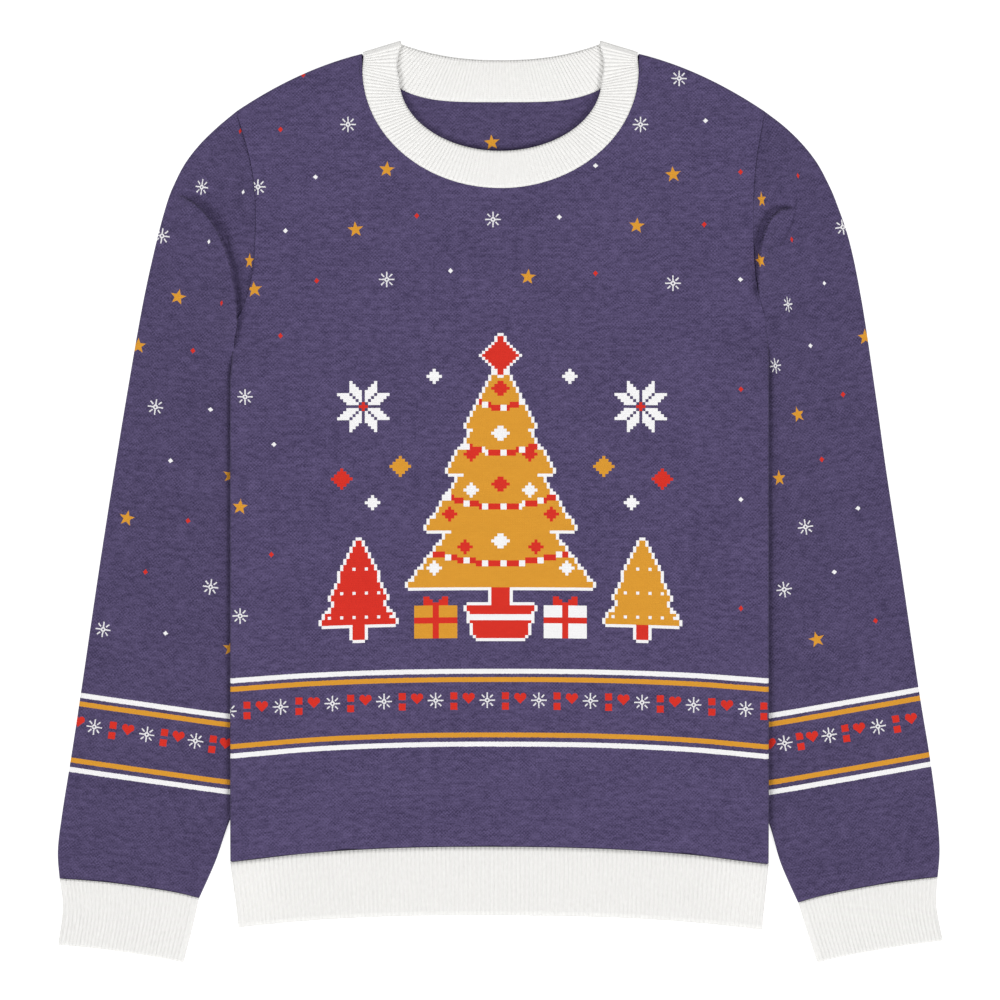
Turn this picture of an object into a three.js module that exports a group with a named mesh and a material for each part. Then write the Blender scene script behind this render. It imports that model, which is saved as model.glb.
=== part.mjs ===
// A knitted Christmas sweater with a crew neck, laid flat on its back on a table.
// Millimetres. X runs across the garment, Y up it from hem to neck, Z up from the table.
// The front lies on the back with a little air between them. Each sleeve is a flattened tube
// that hangs down beside the body, and its inner edge is tucked under the side of the body.
import * as THREE from "three";

// Cloth
const CLOTH = 2.0; // wall of the jacquard knit
const RIB_CLOTH = 2.4; // wall of the ribbed bands, in the grooves
const RIB_RISE = 0.7; // height of a rib above its grooves
const SEAM_GAP = 0.3; // between two pieces that are linked
const CURVED_SEAM_GAP = 0.7; // the same where a coarse outline meets a finely ribbed one

// How the flattened layers stack
const FOLD_HEIGHT = 4.8; // front and back together at a folded edge
const FULL_HEIGHT = 6.2; // the same away from the edges
const FOLD_REACH = 25; // distance over which the height grows from one to the other
const BAND_EXTRA = 0.6; // the ribbed bands are this much higher
const ARC_STEPS = [45, 90]; // degrees round the quarter of a folded edge
const FOLD_RADIUS = FOLD_HEIGHT / 2;
const SHOULDER_SLOPE = 24; // degrees, of the shoulder's folded edge

// Columns of points in half a panel, close together where its side is lifted by the sleeve
const PANEL_COLUMNS = [0, 20, 40, 60, 80, 99, 117, 134, 149, 160, 169, 177, 184, 191, 198, 205, 212.1];
const NECK_COLUMNS = 12; // how many of them end at the neck seam
const FRONT_ROWS = { below: 11, above: 9 }; // rows of points below and above the underarm
const BACK_ROWS = { below: 6, above: 8 };
const HEM_BACK_STEPS = 20; // steps across the back of the hem band, which has no ribs outside
const SLEEVE_STEPS = { top: 11, underside: 5 };
const CUFF_UNDERSIDE_STEPS = 4;

// Body
const SIDE_X = 214.5; // half the width from hem to underarm
const UNDERARM = { x: 215.0, y: 140 };
const SHOULDER_TIP = { x: 211.5, y: 313 };
const NECK_POINT = { x: 110.4, y: 360.4 }; // where the neck seam meets the shoulder
const SHOULDER_START = { x: 111, y: 357.8 }; // inner end of the shoulder's folded edge
const SHOULDER_BOW = 6.2; // the shoulder edge rises above a straight line
const ARMHOLE = { bow: 15, sway: 3 }; // it curves in towards the body, more on the left side
const BOW_POWER = 2.3;
const HEM_SEAM = { y: -276.4, drop: 12.8, power: 2.4 };
const HEM_EDGE = { y: -330.8, drop: 10.4, power: 2.6, halfWidth: 209.6 };

// Neck
const NECK_SEAM = { halfWidth: 110.4, depth: 94.4, centreY: 345.6 };
const NECK_EDGE = { halfWidth: 80.8, depth: 56.8, centreY: 337.6 };
const NECK_FOLD_EDGE = { x: 80, y: 369.6 }; // free edge of the band where it folds to the back
const BACK_SEAM = { y: 320.4, power: 4 };
const BACK_EDGE = { y: 354, power: 2.3 };
const NECK_FRONT_Z = 4.0; // underside of the front half of the neckband

// Ribs
const HEM_RIB = 3.5;
const CUFF_RIB = 3.4;
const NECK_RIB = 2.8;
const NECK_SIDE_RIB = 3.6; // wider where the neckband runs straight up to its fold
const NECK_FOLD_ANGLES = [75, 45, 15, -15, -45, -75]; // degrees, from the top face to the underside

// The side of the body lies on the tucked part of the sleeve, so it is lifted there
const LIFT = {
  height: 5.1,
  startX: 154,
  wander: 7, // its start wavers by this much along the side
  waveLength: 190,
  fullX: 198,
  topY: 140,
  topFullY: 101,
  bottomFullY: -267,
  bottomY: -346,
};

// Sleeve, from the armhole to the cuff seam. Each row is a line across the flattened sleeve,
// from its outer edge to its inner edge, bowed towards the neck by bow at its middle. The left
// sleeve's lines are bowed more by sway and it hangs further out by lean, and the right one's less
// and further in, so the two differ a little.
const SLEEVE_ROWS = [
  { outerX: 211.5, outerY: 313, innerX: 215.0, innerY: 140, bow: ARMHOLE.bow, sway: ARMHOLE.sway, lean: 0 },
  { outerX: 226, outerY: 301, innerX: 215.8, innerY: 132, bow: 13, sway: 2.6, lean: 0 },
  { outerX: 241.5, outerY: 285.5, innerX: 216.2, innerY: 125, bow: 11, sway: 2.2, lean: 0 },
  { outerX: 254, outerY: 269, innerX: 216.4, innerY: 118, bow: 9, sway: 1.8, lean: 0 },
  { outerX: 267.4, outerY: 239.6, innerX: 215.6, innerY: 102, bow: 6, sway: 1.2, lean: 0 },
  { outerX: 277.4, outerY: 207, innerX: 211, innerY: 88, bow: 4, sway: 0.8, lean: 0 },
  { outerX: 287.8, outerY: 158, innerX: 205, innerY: 66, bow: 3, sway: 0.4, lean: 0 },
  { outerX: 298.8, outerY: 89.6, innerX: 200.5, innerY: 30, bow: 2, sway: 0, lean: 0 },
  { outerX: 308.6, outerY: 25.6, innerX: 199, innerY: -25, bow: 1.5, sway: 0, lean: 0.2 },
  { outerX: 320.8, outerY: -54.4, innerX: 199, innerY: -90, bow: 1, sway: 0, lean: 0.4 },
  { outerX: 335, outerY: -150.4, innerX: 199.5, innerY: -173, bow: 0.5, sway: 0, lean: 0.8 },
  { outerX: 343.2, outerY: -202, innerX: 205.5, innerY: -226, bow: 0.5, sway: 0, lean: 1.2 },
  { outerX: 349.6, outerY: -246.4, innerX: 218.2, innerY: -262.5, bow: 1, sway: 0, lean: 1.5 },
  { outerX: 352.6, outerY: -278, innerX: 226.6, innerY: -289, bow: 2, sway: 0, lean: 1.8 },
  { outerX: 351.6, outerY: -302, innerX: 239.8, innerY: -319.6, bow: 3, sway: 0, lean: 1.5 },
];
const SLEEVE_SECTIONS = 18;
const TUCK_MARGIN = 3; // the sleeve stays flat this far past the side of the body
const TUCK_REACH = 22;

// Cuff, as the sleeve. Its first row is the sleeve's last.
const CUFF_ROWS = [
  { outerX: 351.6, outerY: -302, innerX: 239.8, innerY: -319.6, bow: 3, sway: 0, lean: 1.5 },
  { outerX: 350, outerY: -325, innerX: 246, innerY: -342, bow: 2.6, sway: 0, lean: 0.7 },
  { outerX: 354.4, outerY: -353, innerX: 253.8, innerY: -369.5, bow: 2, sway: 0, lean: 0 },
];

// Creases: a soft trough (depth below 0) or ridge along a curve from a to b, bent towards via.
// width is the half-width of the soft cross-section.
const BODY_CREASES = [
  { name: "right side", a: [151, 52], via: [168, -18], b: [195, -94], width: 13, depth: -1.6 },
  { name: "left hem", a: [-158, -206], via: [-146, -240], b: [-124, -280], width: 8, depth: -1.6 },
  { name: "middle hem", a: [-17, -204], via: [-15, -240], b: [-7, -280], width: 11, depth: -0.9 },
  { name: "right hem", a: [179, -228], via: [168, -250], b: [149, -280], width: 9, depth: -1.2 },
  { name: "left chest", a: [-150, 64], via: [-158, 24], b: [-163, -16], width: 11, depth: -0.9 },
  { name: "right shoulder", a: [118, 333], via: [150, 324], b: [182, 322], width: 8, depth: -1.3 },
];
const SLEEVE_CREASES = {
  left: [
    { name: "armpit fold", a: [256, 246], via: [212, 232], b: [210.5, 146], width: 5, depth: -1.8 },
    { name: "roll beside it", a: [262, 236], via: [224, 222], b: [220, 146], width: 6, depth: 1.2 },
    { name: "beside the seam", a: [209, 306], via: [203, 285], b: [205, 190], width: 6, depth: -1.0 },
    { name: "elbow", a: [300, 20], via: [270, 0], b: [240, 6], width: 12, depth: -1.0 },
    { name: "above the cuff", a: [334, -262], via: [320, -285], b: [318, -303], width: 9, depth: -1.0 },
  ],
  right: [
    { name: "armpit fold", a: [240, 239], via: [206, 246], b: [206, 178], width: 5, depth: -1.8 },
    { name: "roll beside it", a: [246, 228], via: [220, 226], b: [217, 170], width: 7, depth: 1.2 },
    { name: "short fold", a: [238, 243], via: [236, 226], b: [227, 214], width: 4, depth: -0.9 },
    { name: "beside the seam", a: [211, 300], via: [208, 280], b: [207, 246], width: 6, depth: -1.0 },
    { name: "elbow", a: [304, 34], via: [278, 8], b: [246, 0], width: 12, depth: -1.0 },
    { name: "above the cuff", a: [330, -258], via: [318, -280], b: [316, -303], width: 9, depth: -1.0 },
  ],
};
const CREASE_STEPS = 12;
const DEEPEST = -1.8; // limits of the creases where several meet
const HIGHEST = 1.2;

const radians = THREE.MathUtils.degToRad;
const lerp = THREE.MathUtils.lerp;
// Rises softly from 0 at from to 1 at to, whichever of the two is larger.
const smooth = (from, to, x) => {
  const t = THREE.MathUtils.clamp((x - from) / (to - from), 0, 1);
  return t * t * (3 - 2 * t);
};

// Shape of a bowed line across the garment: 0 at its ends and 1 at its middle.
const bowed = (s) => 1 - Math.abs(2 * s - 1) ** BOW_POWER;

// Evenly spaced numbers from a to b, both included.
const steps = (a, b, count) => Array.from({ length: count + 1 }, (_, i) => lerp(a, b, i / count));

// Height of the stacked front and back at a distance from the nearest folded edge.
function stackHeight(distance, flat = FOLD_RADIUS, reach = FOLD_REACH) {
  return lerp(FOLD_HEIGHT, FULL_HEIGHT, smooth(flat, flat + reach, distance));
}

// Sum of the creases at a point, in full where the stack is at its full height.
function relief(creases, x, y, height) {
  let sum = 0;
  for (const crease of creases) {
    let nearest = Infinity;
    for (let i = 0; i <= CREASE_STEPS; i++) {
      const t = i / CREASE_STEPS;
      const [px, py] = [0, 1].map(
        (k) => (1 - t) ** 2 * crease.a[k] + 2 * t * (1 - t) * crease.via[k] + t ** 2 * crease.b[k],
      );
      nearest = Math.min(nearest, Math.hypot(x - px, y - py));
    }
    sum += crease.depth * Math.exp(-((nearest / crease.width) ** 2));
  }
  const share = (height - FOLD_HEIGHT) / (FULL_HEIGHT - FOLD_HEIGHT);
  return share * THREE.MathUtils.clamp(sum, DEEPEST, HIGHEST);
}

// Lift of the body over the tucked sleeve.
function lift(x, y) {
  const phase = (2 * Math.PI * y) / LIFT.waveLength + Math.sign(x);
  const start = LIFT.startX + LIFT.wander * Math.sin(phase);
  const across = smooth(start, LIFT.fullX, Math.abs(x));
  const top = smooth(LIFT.topY, LIFT.topFullY, y);
  const bottom = smooth(LIFT.bottomY, LIFT.bottomFullY, y);
  return LIFT.height * across * top * bottom;
}

// Upper edge of the shoulder at a distance from the middle line.
function shoulderY(x) {
  const t = THREE.MathUtils.clamp(
    (Math.abs(x) - SHOULDER_START.x) / (SHOULDER_TIP.x - SHOULDER_START.x),
    0,
    1,
  );
  return lerp(SHOULDER_START.y, SHOULDER_TIP.y, t) + SHOULDER_BOW * 4 * t * (1 - t);
}

// Half the width of a panel on one side: the side of the body, and the armhole above it.
function panelHalfWidth(y, side) {
  if (y <= UNDERARM.y) return SIDE_X;
  const s = Math.max(0, (SHOULDER_TIP.y - y) / (SHOULDER_TIP.y - UNDERARM.y));
  const bow = ARMHOLE.bow - side * ARMHOLE.sway;
  const seam = lerp(SHOULDER_TIP.x, UNDERARM.x, s) - bow * bowed(s);
  return seam - CURVED_SEAM_GAP;
}

// Height of the stacked body at a point, without lift.
function bodyStack(x, y) {
  const toShoulder = Math.max(0, shoulderY(x) - y) * Math.cos(radians(SHOULDER_SLOPE));
  const toSide =
    y <= UNDERARM.y ? SIDE_X - Math.abs(x) : Math.hypot(UNDERARM.x - Math.abs(x), y - UNDERARM.y);
  return stackHeight(Math.min(toShoulder, Math.max(0, toSide)));
}

// The same crease on the other side of the middle line.
function mirrored(crease) {
  const flip = ([x, y]) => [-x, y];
  return { ...crease, a: flip(crease.a), via: flip(crease.via), b: flip(crease.b) };
}

// Outline of the hem seam and of the hem's lower edge.
const droop = (edge, share) => edge.y - edge.drop * Math.abs(share) ** edge.power;

// A closed wall between an outer and an inner grid of points, grid[column][row].
// With wrap, the last column joins the first, as round a tube.
function wall(outer, inner, wrap = false) {
  const columns = outer.length;
  const rows = outer[0].length;
  const positions = [...outer, ...inner].flat(2);
  const at = (side, i, j) => side * columns * rows + (i % columns) * rows + j;
  const index = [];
  const quad = (a, b, c, d) => index.push(a, b, c, a, c, d);
  const lastColumn = wrap ? columns : columns - 1;
  for (let i = 0; i < lastColumn; i++) {
    for (let j = 0; j < rows - 1; j++) {
      quad(at(0, i, j), at(0, i + 1, j), at(0, i + 1, j + 1), at(0, i, j + 1));
      quad(at(1, i, j), at(1, i, j + 1), at(1, i + 1, j + 1), at(1, i + 1, j));
    }
    const top = rows - 1;
    quad(at(0, i, 0), at(1, i, 0), at(1, i + 1, 0), at(0, i + 1, 0));
    quad(at(0, i, top), at(0, i + 1, top), at(1, i + 1, top), at(1, i, top));
  }
  if (!wrap) {
    const last = columns - 1;
    for (let j = 0; j < rows - 1; j++) {
      quad(at(0, 0, j), at(0, 0, j + 1), at(1, 0, j + 1), at(1, 0, j));
      quad(at(0, last, j), at(1, last, j), at(1, last, j + 1), at(0, last, j + 1));
    }
  }
  return facingOut(positions, index);
}

// Reverses the triangles if they enclose a negative volume.
function facingOut(positions, index) {
  const corner = (i) => new THREE.Vector3().fromArray(positions, index[i] * 3);
  let volume = 0;
  for (let i = 0; i < index.length; i += 3) {
    volume += corner(i).dot(corner(i + 1).cross(corner(i + 2)));
  }
  if (volume < 0) index.reverse();
  const geometry = new THREE.BufferGeometry();
  geometry.setAttribute("position", new THREE.Float32BufferAttribute(positions, 3));
  geometry.setIndex(index);
  return geometry;
}

// Upper ends of a panel's columns from the middle line out: along the neckline, then the shoulder.
function panelTops(neckline) {
  const tops = neckline.map((p) => ({ ...p, folds: false }));
  const from = SHOULDER_START.x;
  const to = SHOULDER_TIP.x - CURVED_SEAM_GAP - FOLD_RADIUS;
  for (const x of steps(from, to, PANEL_COLUMNS.length - NECK_COLUMNS - 1)) {
    tops.push({ x, y: shoulderY(x), normal: [x === from ? -1 : 0, 1], folds: true });
  }
  return tops;
}

// The front neckline: half an ellipse, then straight up towards the neck point.
function frontNeckline() {
  const points = steps(0, 90, NECK_COLUMNS - 2).map((degrees) => {
    const [s, c] = [Math.sin(radians(degrees)), Math.cos(radians(degrees))];
    return {
      x: (NECK_SEAM.halfWidth + CURVED_SEAM_GAP) * s,
      y: NECK_SEAM.centreY - (NECK_SEAM.depth + CURVED_SEAM_GAP) * c,
      normal: [-s, c],
    };
  });
  const last = points[points.length - 1];
  points.push({ ...last, y: (last.y + SHOULDER_START.y) / 2 });
  return points;
}

// The back neckline: shallow, steeper towards the neck point.
function backNeckline() {
  const { seam } = neckFold();
  return steps(0, 90, NECK_COLUMNS - 1).map((degrees) => {
    const share = Math.sin(radians(degrees));
    const rise = seam.y - BACK_SEAM.y;
    const slope = (BACK_SEAM.power * rise * share ** (BACK_SEAM.power - 1)) / seam.x;
    const across = CURVED_SEAM_GAP / Math.hypot(slope, 1);
    return {
      x: seam.x * share + across * slope,
      y: BACK_SEAM.y + rise * share ** BACK_SEAM.power - across,
      normal: [0, 1],
    };
  });
}

// One panel of the body, from the hem seam to the neckline and the shoulders, both halves of it.
function panel(tops, rows, layer) {
  const widest = PANEL_COLUMNS[PANEL_COLUMNS.length - 1];
  const flat = tops.map((top, i) => ({ top, share: PANEL_COLUMNS[i] / widest, arc: 0 }));
  const arcs = ARC_STEPS.map((degrees) => {
    const inset = FOLD_RADIUS * (1 - Math.sin(radians(degrees)));
    const x = SHOULDER_TIP.x - CURVED_SEAM_GAP - inset;
    return { top: { x, y: shoulderY(x), normal: [0, 1], folds: true }, share: 1, arc: radians(degrees) };
  });
  const half = [...flat, ...arcs];
  const both = [
    ...half.slice(1).reverse().map((column) => ({ ...column, side: -1 })),
    ...half.map((column) => ({ ...column, side: 1 })),
  ];
  const points = both.map((column) => panelColumn(column, rows));
  return wall(
    points.map((column) => column.map(layer.outer)),
    points.map((column) => column.map(layer.inner)),
  );
}

// The points of a column in the plan, upwards. arc is how far a point has turned round the fold
// at the side, and rise how far round the fold at the shoulder, where it isn't 0.
function panelColumn({ top, share, arc, side }, rows) {
  const baseX = top.x - top.normal[0] * FOLD_RADIUS;
  const baseY = top.y - top.normal[1] * FOLD_RADIUS;
  const inset = FOLD_RADIUS * (1 - Math.sin(arc));
  const topShare = baseX / (panelHalfWidth(baseY, side) - FOLD_RADIUS);
  const bottomY = droop(HEM_SEAM, (share * (SIDE_X - FOLD_RADIUS)) / SIDE_X) + SEAM_GAP / 2;
  const heights = [
    bottomY,
    ...steps(LIFT.bottomFullY, LIFT.topFullY, rows.below),
    (LIFT.topFullY + UNDERARM.y) / 2,
    UNDERARM.y,
    ...steps(UNDERARM.y + FOLD_RADIUS, baseY, rows.above),
  ];
  const column = heights.map((y) => {
    const edge = panelHalfWidth(y, side);
    const up = Math.max(0, (y - UNDERARM.y) / (baseY - UNDERARM.y));
    const x = arc ? edge - inset : (edge - FOLD_RADIUS) * lerp(share, topShare, up);
    return { x, y, side, edge, arc: y <= UNDERARM.y ? arc : 0, rise: 0 };
  });
  for (const degrees of ARC_STEPS) {
    const back = FOLD_RADIUS * (1 - Math.sin(radians(degrees)));
    const [x, y] = [top.x - top.normal[0] * back, top.y - top.normal[1] * back];
    column.push({ x, y, side, arc: 0, rise: top.folds ? radians(degrees) : 0, topY: top.y });
  }
  return column;
}

// Heights and places of a panel's points. facing is 1 for the front and -1 for the back.
function layerOf(facing, creases) {
  const faces = (p) => {
    const x = p.side * p.x;
    const stack = bodyStack(p.x, p.y);
    const floor = lift(x, p.y);
    const bulge = facing > 0 ? relief(creases, x, p.y, stack) : 0;
    const outer = facing > 0 ? floor + stack + bulge : floor;
    return { x, outer, inner: outer - facing * CLOTH, middle: floor + FOLD_RADIUS };
  };
  // A point that has turned through angle round a fold, at radius from the fold's middle.
  const turned = (p, radius) => {
    const { x, middle } = faces(p);
    const angle = p.arc || p.rise;
    const z = middle + facing * Math.max(radius * Math.cos(angle), SEAM_GAP / 2);
    if (p.arc) return [p.side * (p.edge - FOLD_RADIUS + radius * Math.sin(angle)), p.y, z];
    return [x, p.topY - FOLD_RADIUS + radius * Math.sin(angle), z];
  };
  return {
    outer: (p) => (p.arc || p.rise ? turned(p, FOLD_RADIUS) : [faces(p).x, p.y, faces(p).outer]),
    inner: (p) =>
      p.arc || p.rise ? turned(p, FOLD_RADIUS - CLOTH) : [faces(p).x, p.y, faces(p).inner],
  };
}

// A row of a table at a fractional index, on a Catmull-Rom curve through its rows.
function tableAt(rows, share) {
  const at = share * (rows.length - 1);
  const i = Math.min(Math.floor(at), rows.length - 2);
  const t = at - i;
  const near = [-1, 0, 1, 2].map((k) => rows[THREE.MathUtils.clamp(i + k, 0, rows.length - 1)]);
  const result = {};
  for (const key of Object.keys(rows[0])) {
    const [p0, p1, p2, p3] = near.map((row) => row[key]);
    result[key] =
      p1 +
      0.5 *
        t *
        (p2 - p0 + t * (2 * p0 - 5 * p1 + 4 * p2 - p3 + t * (3 * (p1 - p2) + p3 - p0)));
  }
  return result;
}

// The bowed line across a flattened tube, as a function of distance from its outer edge.
function crossLine(row, side) {
  const outer = new THREE.Vector2(row.outerX - side * row.lean, row.outerY);
  const inner = new THREE.Vector2(row.innerX - side * row.lean, row.innerY);
  const along = inner.clone().sub(outer);
  const length = along.length();
  const normal = new THREE.Vector2(along.y, -along.x).normalize();
  return {
    length,
    at(distance) {
      const s = distance / length;
      const bow = row.bow - side * row.sway;
      return outer.clone().addScaledVector(along, s).addScaledVector(normal, bow * bowed(s));
    },
  };
}

// One ring of a flattened tube: its outer and inner points, all round from the outer edge over
// the top to the inner edge and back underneath.
function flatRing(row, shape) {
  const { side, thickness, foldHeight, height, topDistances } = shape;
  const line = crossLine(row, side);
  const radius = foldHeight / 2;
  const hollow = radius - thickness;
  const ring = { outer: [], inner: [] };
  const put = (distance, z, innerDistance, innerZ) => {
    const a = line.at(distance);
    const b = line.at(innerDistance);
    ring.outer.push([a.x, a.y, z]);
    ring.inner.push([b.x, b.y, innerZ]);
  };
  // angle is 90 at the outermost point of the fold, 0 where it meets the top or the underside
  const fold = (atInnerEdge, angle, facing) => {
    const [s, c] = [Math.sin(radians(angle)), Math.cos(radians(angle))];
    const from = (r) => (atInnerEdge ? line.length - radius + r * s : radius - r * s);
    put(from(radius), radius + facing * radius * c, from(hollow), radius + facing * hollow * c);
  };
  const tops = topDistances(line.length, radius);
  ARC_STEPS.toReversed().forEach((angle) => fold(false, angle, 1));
  tops.forEach(({ distance, rise }) => {
    const z = height(line.at(distance), distance, line.length);
    put(distance, z + rise, distance, z - thickness);
  });
  ARC_STEPS.forEach((angle) => fold(true, angle, 1));
  ARC_STEPS.slice(0, -1).toReversed().forEach((angle) => fold(true, angle, -1));
  steps(line.length - radius, radius, shape.undersideSteps).forEach((distance) => {
    put(distance, 0, distance, thickness);
  });
  ARC_STEPS.slice(0, -1).forEach((angle) => fold(false, angle, -1));
  return ring;
}

// A flattened tube through its rings. Mirrored to the left side where side is -1.
function flatTube(rings, side) {
  const grid = (key) =>
    rings[0][key].map((_, i) => rings.map((ring) => [side * ring[key][i][0], ...ring[key][i].slice(1)]));
  return wall(grid("outer"), grid("inner"), true);
}

function sleeve(side, creases) {
  const height = (row) => (point, distance, length) => {
    const tuck = Math.max(FOLD_RADIUS, SIDE_X + TUCK_MARGIN - row.innerX);
    const tucked = tuck > FOLD_RADIUS + TUCK_MARGIN;
    const outerSide = stackHeight(distance);
    const innerSide = tucked
      ? stackHeight(length - distance, tuck, TUCK_REACH)
      : stackHeight(length - distance);
    const stack = Math.min(outerSide, innerSide);
    return stack + relief(creases, point.x, point.y, stack);
  };
  const rings = steps(0, 1, SLEEVE_SECTIONS).map((share) => {
    const row = tableAt(SLEEVE_ROWS, share);
    return flatRing(row, {
      side,
      thickness: CLOTH,
      foldHeight: FOLD_HEIGHT,
      height: height(row),
      undersideSteps: SLEEVE_STEPS.underside,
      topDistances: (length, radius) =>
        steps(radius, length - radius, SLEEVE_STEPS.top).map((distance) => ({ distance, rise: 0 })),
    });
  });
  return flatTube(rings, side);
}

function cuff(side) {
  const foldHeight = FOLD_HEIGHT + BAND_EXTRA;
  const first = CUFF_ROWS[0];
  const ribs = Math.round(Math.hypot(first.outerX - first.innerX, first.outerY - first.innerY) / CUFF_RIB);
  const rings = CUFF_ROWS.map((row, i) => {
    const shifted = i ? row : { ...row, outerY: row.outerY - SEAM_GAP, innerY: row.innerY - SEAM_GAP };
    return flatRing(shifted, {
      side,
      thickness: RIB_CLOTH,
      foldHeight,
      height: (_, distance, length) =>
        stackHeight(Math.min(distance, length - distance)) + BAND_EXTRA,
      undersideSteps: CUFF_UNDERSIDE_STEPS,
      topDistances: (length, radius) =>
        steps(radius, length - radius, 2 * ribs).map((distance, k) => ({
          distance,
          rise: (k % 2) * RIB_RISE,
        })),
    });
  });
  return flatTube(rings, side);
}

// Half of the hem band. Ribs stand up on the front, and the back lies flat on the table.
function hemBand(facing) {
  const radius = (FOLD_HEIGHT + BAND_EXTRA) / 2;
  const hollow = radius - RIB_CLOTH;
  const ribs = Math.round((2 * (SIDE_X - radius)) / HEM_RIB);
  const across = steps(-1, 1, facing > 0 ? 2 * ribs : HEM_BACK_STEPS);
  const edges = [
    { shape: HEM_SEAM, halfWidth: SIDE_X, shift: -SEAM_GAP / 2 },
    { shape: HEM_EDGE, halfWidth: HEM_EDGE.halfWidth, shift: 0 },
  ];
  const columns = [];
  const arcColumn = (side, degrees) =>
    edges.map(({ shape, halfWidth, shift }) => {
      const y = droop(shape, 1) + shift;
      const middle = lift(halfWidth, y) + radius;
      const place = (r) => [
        side * (halfWidth - radius + r * Math.sin(radians(degrees))),
        y,
        middle + facing * Math.max(r * Math.cos(radians(degrees)), SEAM_GAP / 2),
      ];
      return { outer: place(radius), inner: place(hollow) };
    });
  const flatColumn = (share, k) =>
    edges.map(({ shape, halfWidth, shift }) => {
      const x = share * (halfWidth - radius);
      const y = droop(shape, x / halfWidth) + shift;
      const floor = lift(x, y);
      const stack = stackHeight(halfWidth - Math.abs(x)) + BAND_EXTRA;
      const rise = facing > 0 ? (k % 2) * RIB_RISE : 0;
      const outer = facing > 0 ? floor + stack : floor;
      return { outer: [x, y, outer + rise], inner: [x, y, outer - facing * RIB_CLOTH] };
    });
  ARC_STEPS.toReversed().forEach((degrees) => columns.push(arcColumn(-1, degrees)));
  across.forEach((share, k) => columns.push(flatColumn(share, k)));
  ARC_STEPS.forEach((degrees) => columns.push(arcColumn(1, degrees)));
  const grid = (key) => columns.map((column) => column.map((p) => p[key]));
  return wall(grid("outer"), grid("inner"));
}

// Where the neckband folds from front to back at the right shoulder: the middle of the fold at
// the seam and at the free edge, and the direction out of the garment.
function neckFold() {
  const along = new THREE.Vector2(
    NECK_FOLD_EDGE.x - NECK_POINT.x,
    NECK_FOLD_EDGE.y - NECK_POINT.y,
  ).normalize();
  const out = new THREE.Vector2(along.y, -along.x);
  const radius = (NECK_FRONT_Z + RIB_CLOTH) / 2;
  const inset = (p) => new THREE.Vector2(p.x, p.y).addScaledVector(out, -radius);
  return { out, radius, seam: inset(NECK_POINT), edge: inset(NECK_FOLD_EDGE) };
}

// Stations round the neckband. Each has its points at the seam and at the free edge, and the
// heights of its upper and lower face.
function neckbandStations() {
  const fold = neckFold();
  const frontZ = { outer: NECK_FRONT_Z + RIB_CLOTH, inner: NECK_FRONT_Z };
  const backZ = { outer: 0, inner: RIB_CLOTH };
  const stations = [];
  const ellipse = (shape, degrees) => [
    shape.halfWidth * Math.sin(radians(degrees)),
    shape.centreY - shape.depth * Math.cos(radians(degrees)),
  ];
  const middleSpan = (NECK_SEAM.halfWidth + NECK_EDGE.halfWidth + NECK_SEAM.depth + NECK_EDGE.depth) / 4;
  const curveRibs = Math.round((Math.PI * middleSpan) / NECK_RIB);
  const straight = fold.edge.y - NECK_EDGE.centreY;
  const straightRibs = Math.round(straight / NECK_SIDE_RIB);
  const straightStations = (side) => {
    const between = (oval, end, share) => [
      side * lerp(oval.halfWidth, end.x, share),
      lerp(oval.centreY, end.y, share),
    ];
    return steps(1, 0, 2 * straightRibs)
      .slice(1, -1)
      .map((share) => ({
        seam: between(NECK_SEAM, fold.seam, share),
        edge: between(NECK_EDGE, fold.edge, share),
      }));
  };
  const front = [
    ...straightStations(1),
    ...steps(90, -90, 2 * curveRibs).map((degrees) => ({
      seam: ellipse(NECK_SEAM, degrees),
      edge: ellipse(NECK_EDGE, degrees),
    })),
    ...straightStations(-1).reverse(),
  ];
  front.forEach((p, k) => stations.push({ ...p, z: frontZ, rise: { outer: (k % 2) * RIB_RISE, inner: 0 } }));
  stations.push(...foldStations(fold, -1, NECK_FOLD_ANGLES));
  const backRibs = Math.round((fold.seam.x + fold.edge.x) / NECK_RIB);
  steps(-1, 1, 2 * backRibs)
    .slice(1, -1)
    .forEach((share, k) => {
      const height = (row, end) => lerp(row.y, end.y, Math.abs(share) ** row.power);
      stations.push({
        seam: [fold.seam.x * share, height(BACK_SEAM, fold.seam)],
        edge: [fold.edge.x * share, height(BACK_EDGE, fold.edge)],
        z: backZ,
        rise: { outer: 0, inner: (k % 2) * RIB_RISE },
      });
    });
  stations.push(...foldStations(fold, 1, NECK_FOLD_ANGLES.toReversed()));
  return stations;
}

// Stations that carry the neckband round its fold, at angles from the top face to the underside.
function foldStations(fold, side, angles) {
  const hollow = fold.radius - RIB_CLOTH;
  return angles.map((degrees) => {
    const [s, c] = [Math.sin(radians(degrees)), Math.cos(radians(degrees))];
    const place = (p, r) => [side * (p.x + fold.out.x * r * c), p.y + fold.out.y * r * c];
    return {
      seam: place(fold.seam, fold.radius),
      edge: place(fold.edge, fold.radius),
      innerSeam: place(fold.seam, hollow),
      innerEdge: place(fold.edge, hollow),
      z: { outer: fold.radius * (1 + s), inner: fold.radius + hollow * s },
      rise: { outer: 0, inner: 0 },
    };
  });
}

function neckband() {
  const stations = neckbandStations();
  const outer = stations.map(({ seam, edge, z, rise }) =>
    [seam, edge].map((p) => [...p, z.outer + rise.outer]),
  );
  const inner = stations.map(({ seam, edge, innerSeam, innerEdge, z, rise }) =>
    [innerSeam ?? seam, innerEdge ?? edge].map((p) => [...p, z.inner + rise.inner]),
  );
  return wall(outer, inner, true);
}

// The folds at the armpits begin on the sleeves and run on into the front.
const CREASES_NEAR_FRONT = [
  ...BODY_CREASES,
  ...SLEEVE_CREASES.right.slice(0, 2),
  ...SLEEVE_CREASES.left.slice(0, 2).map(mirrored),
];

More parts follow.
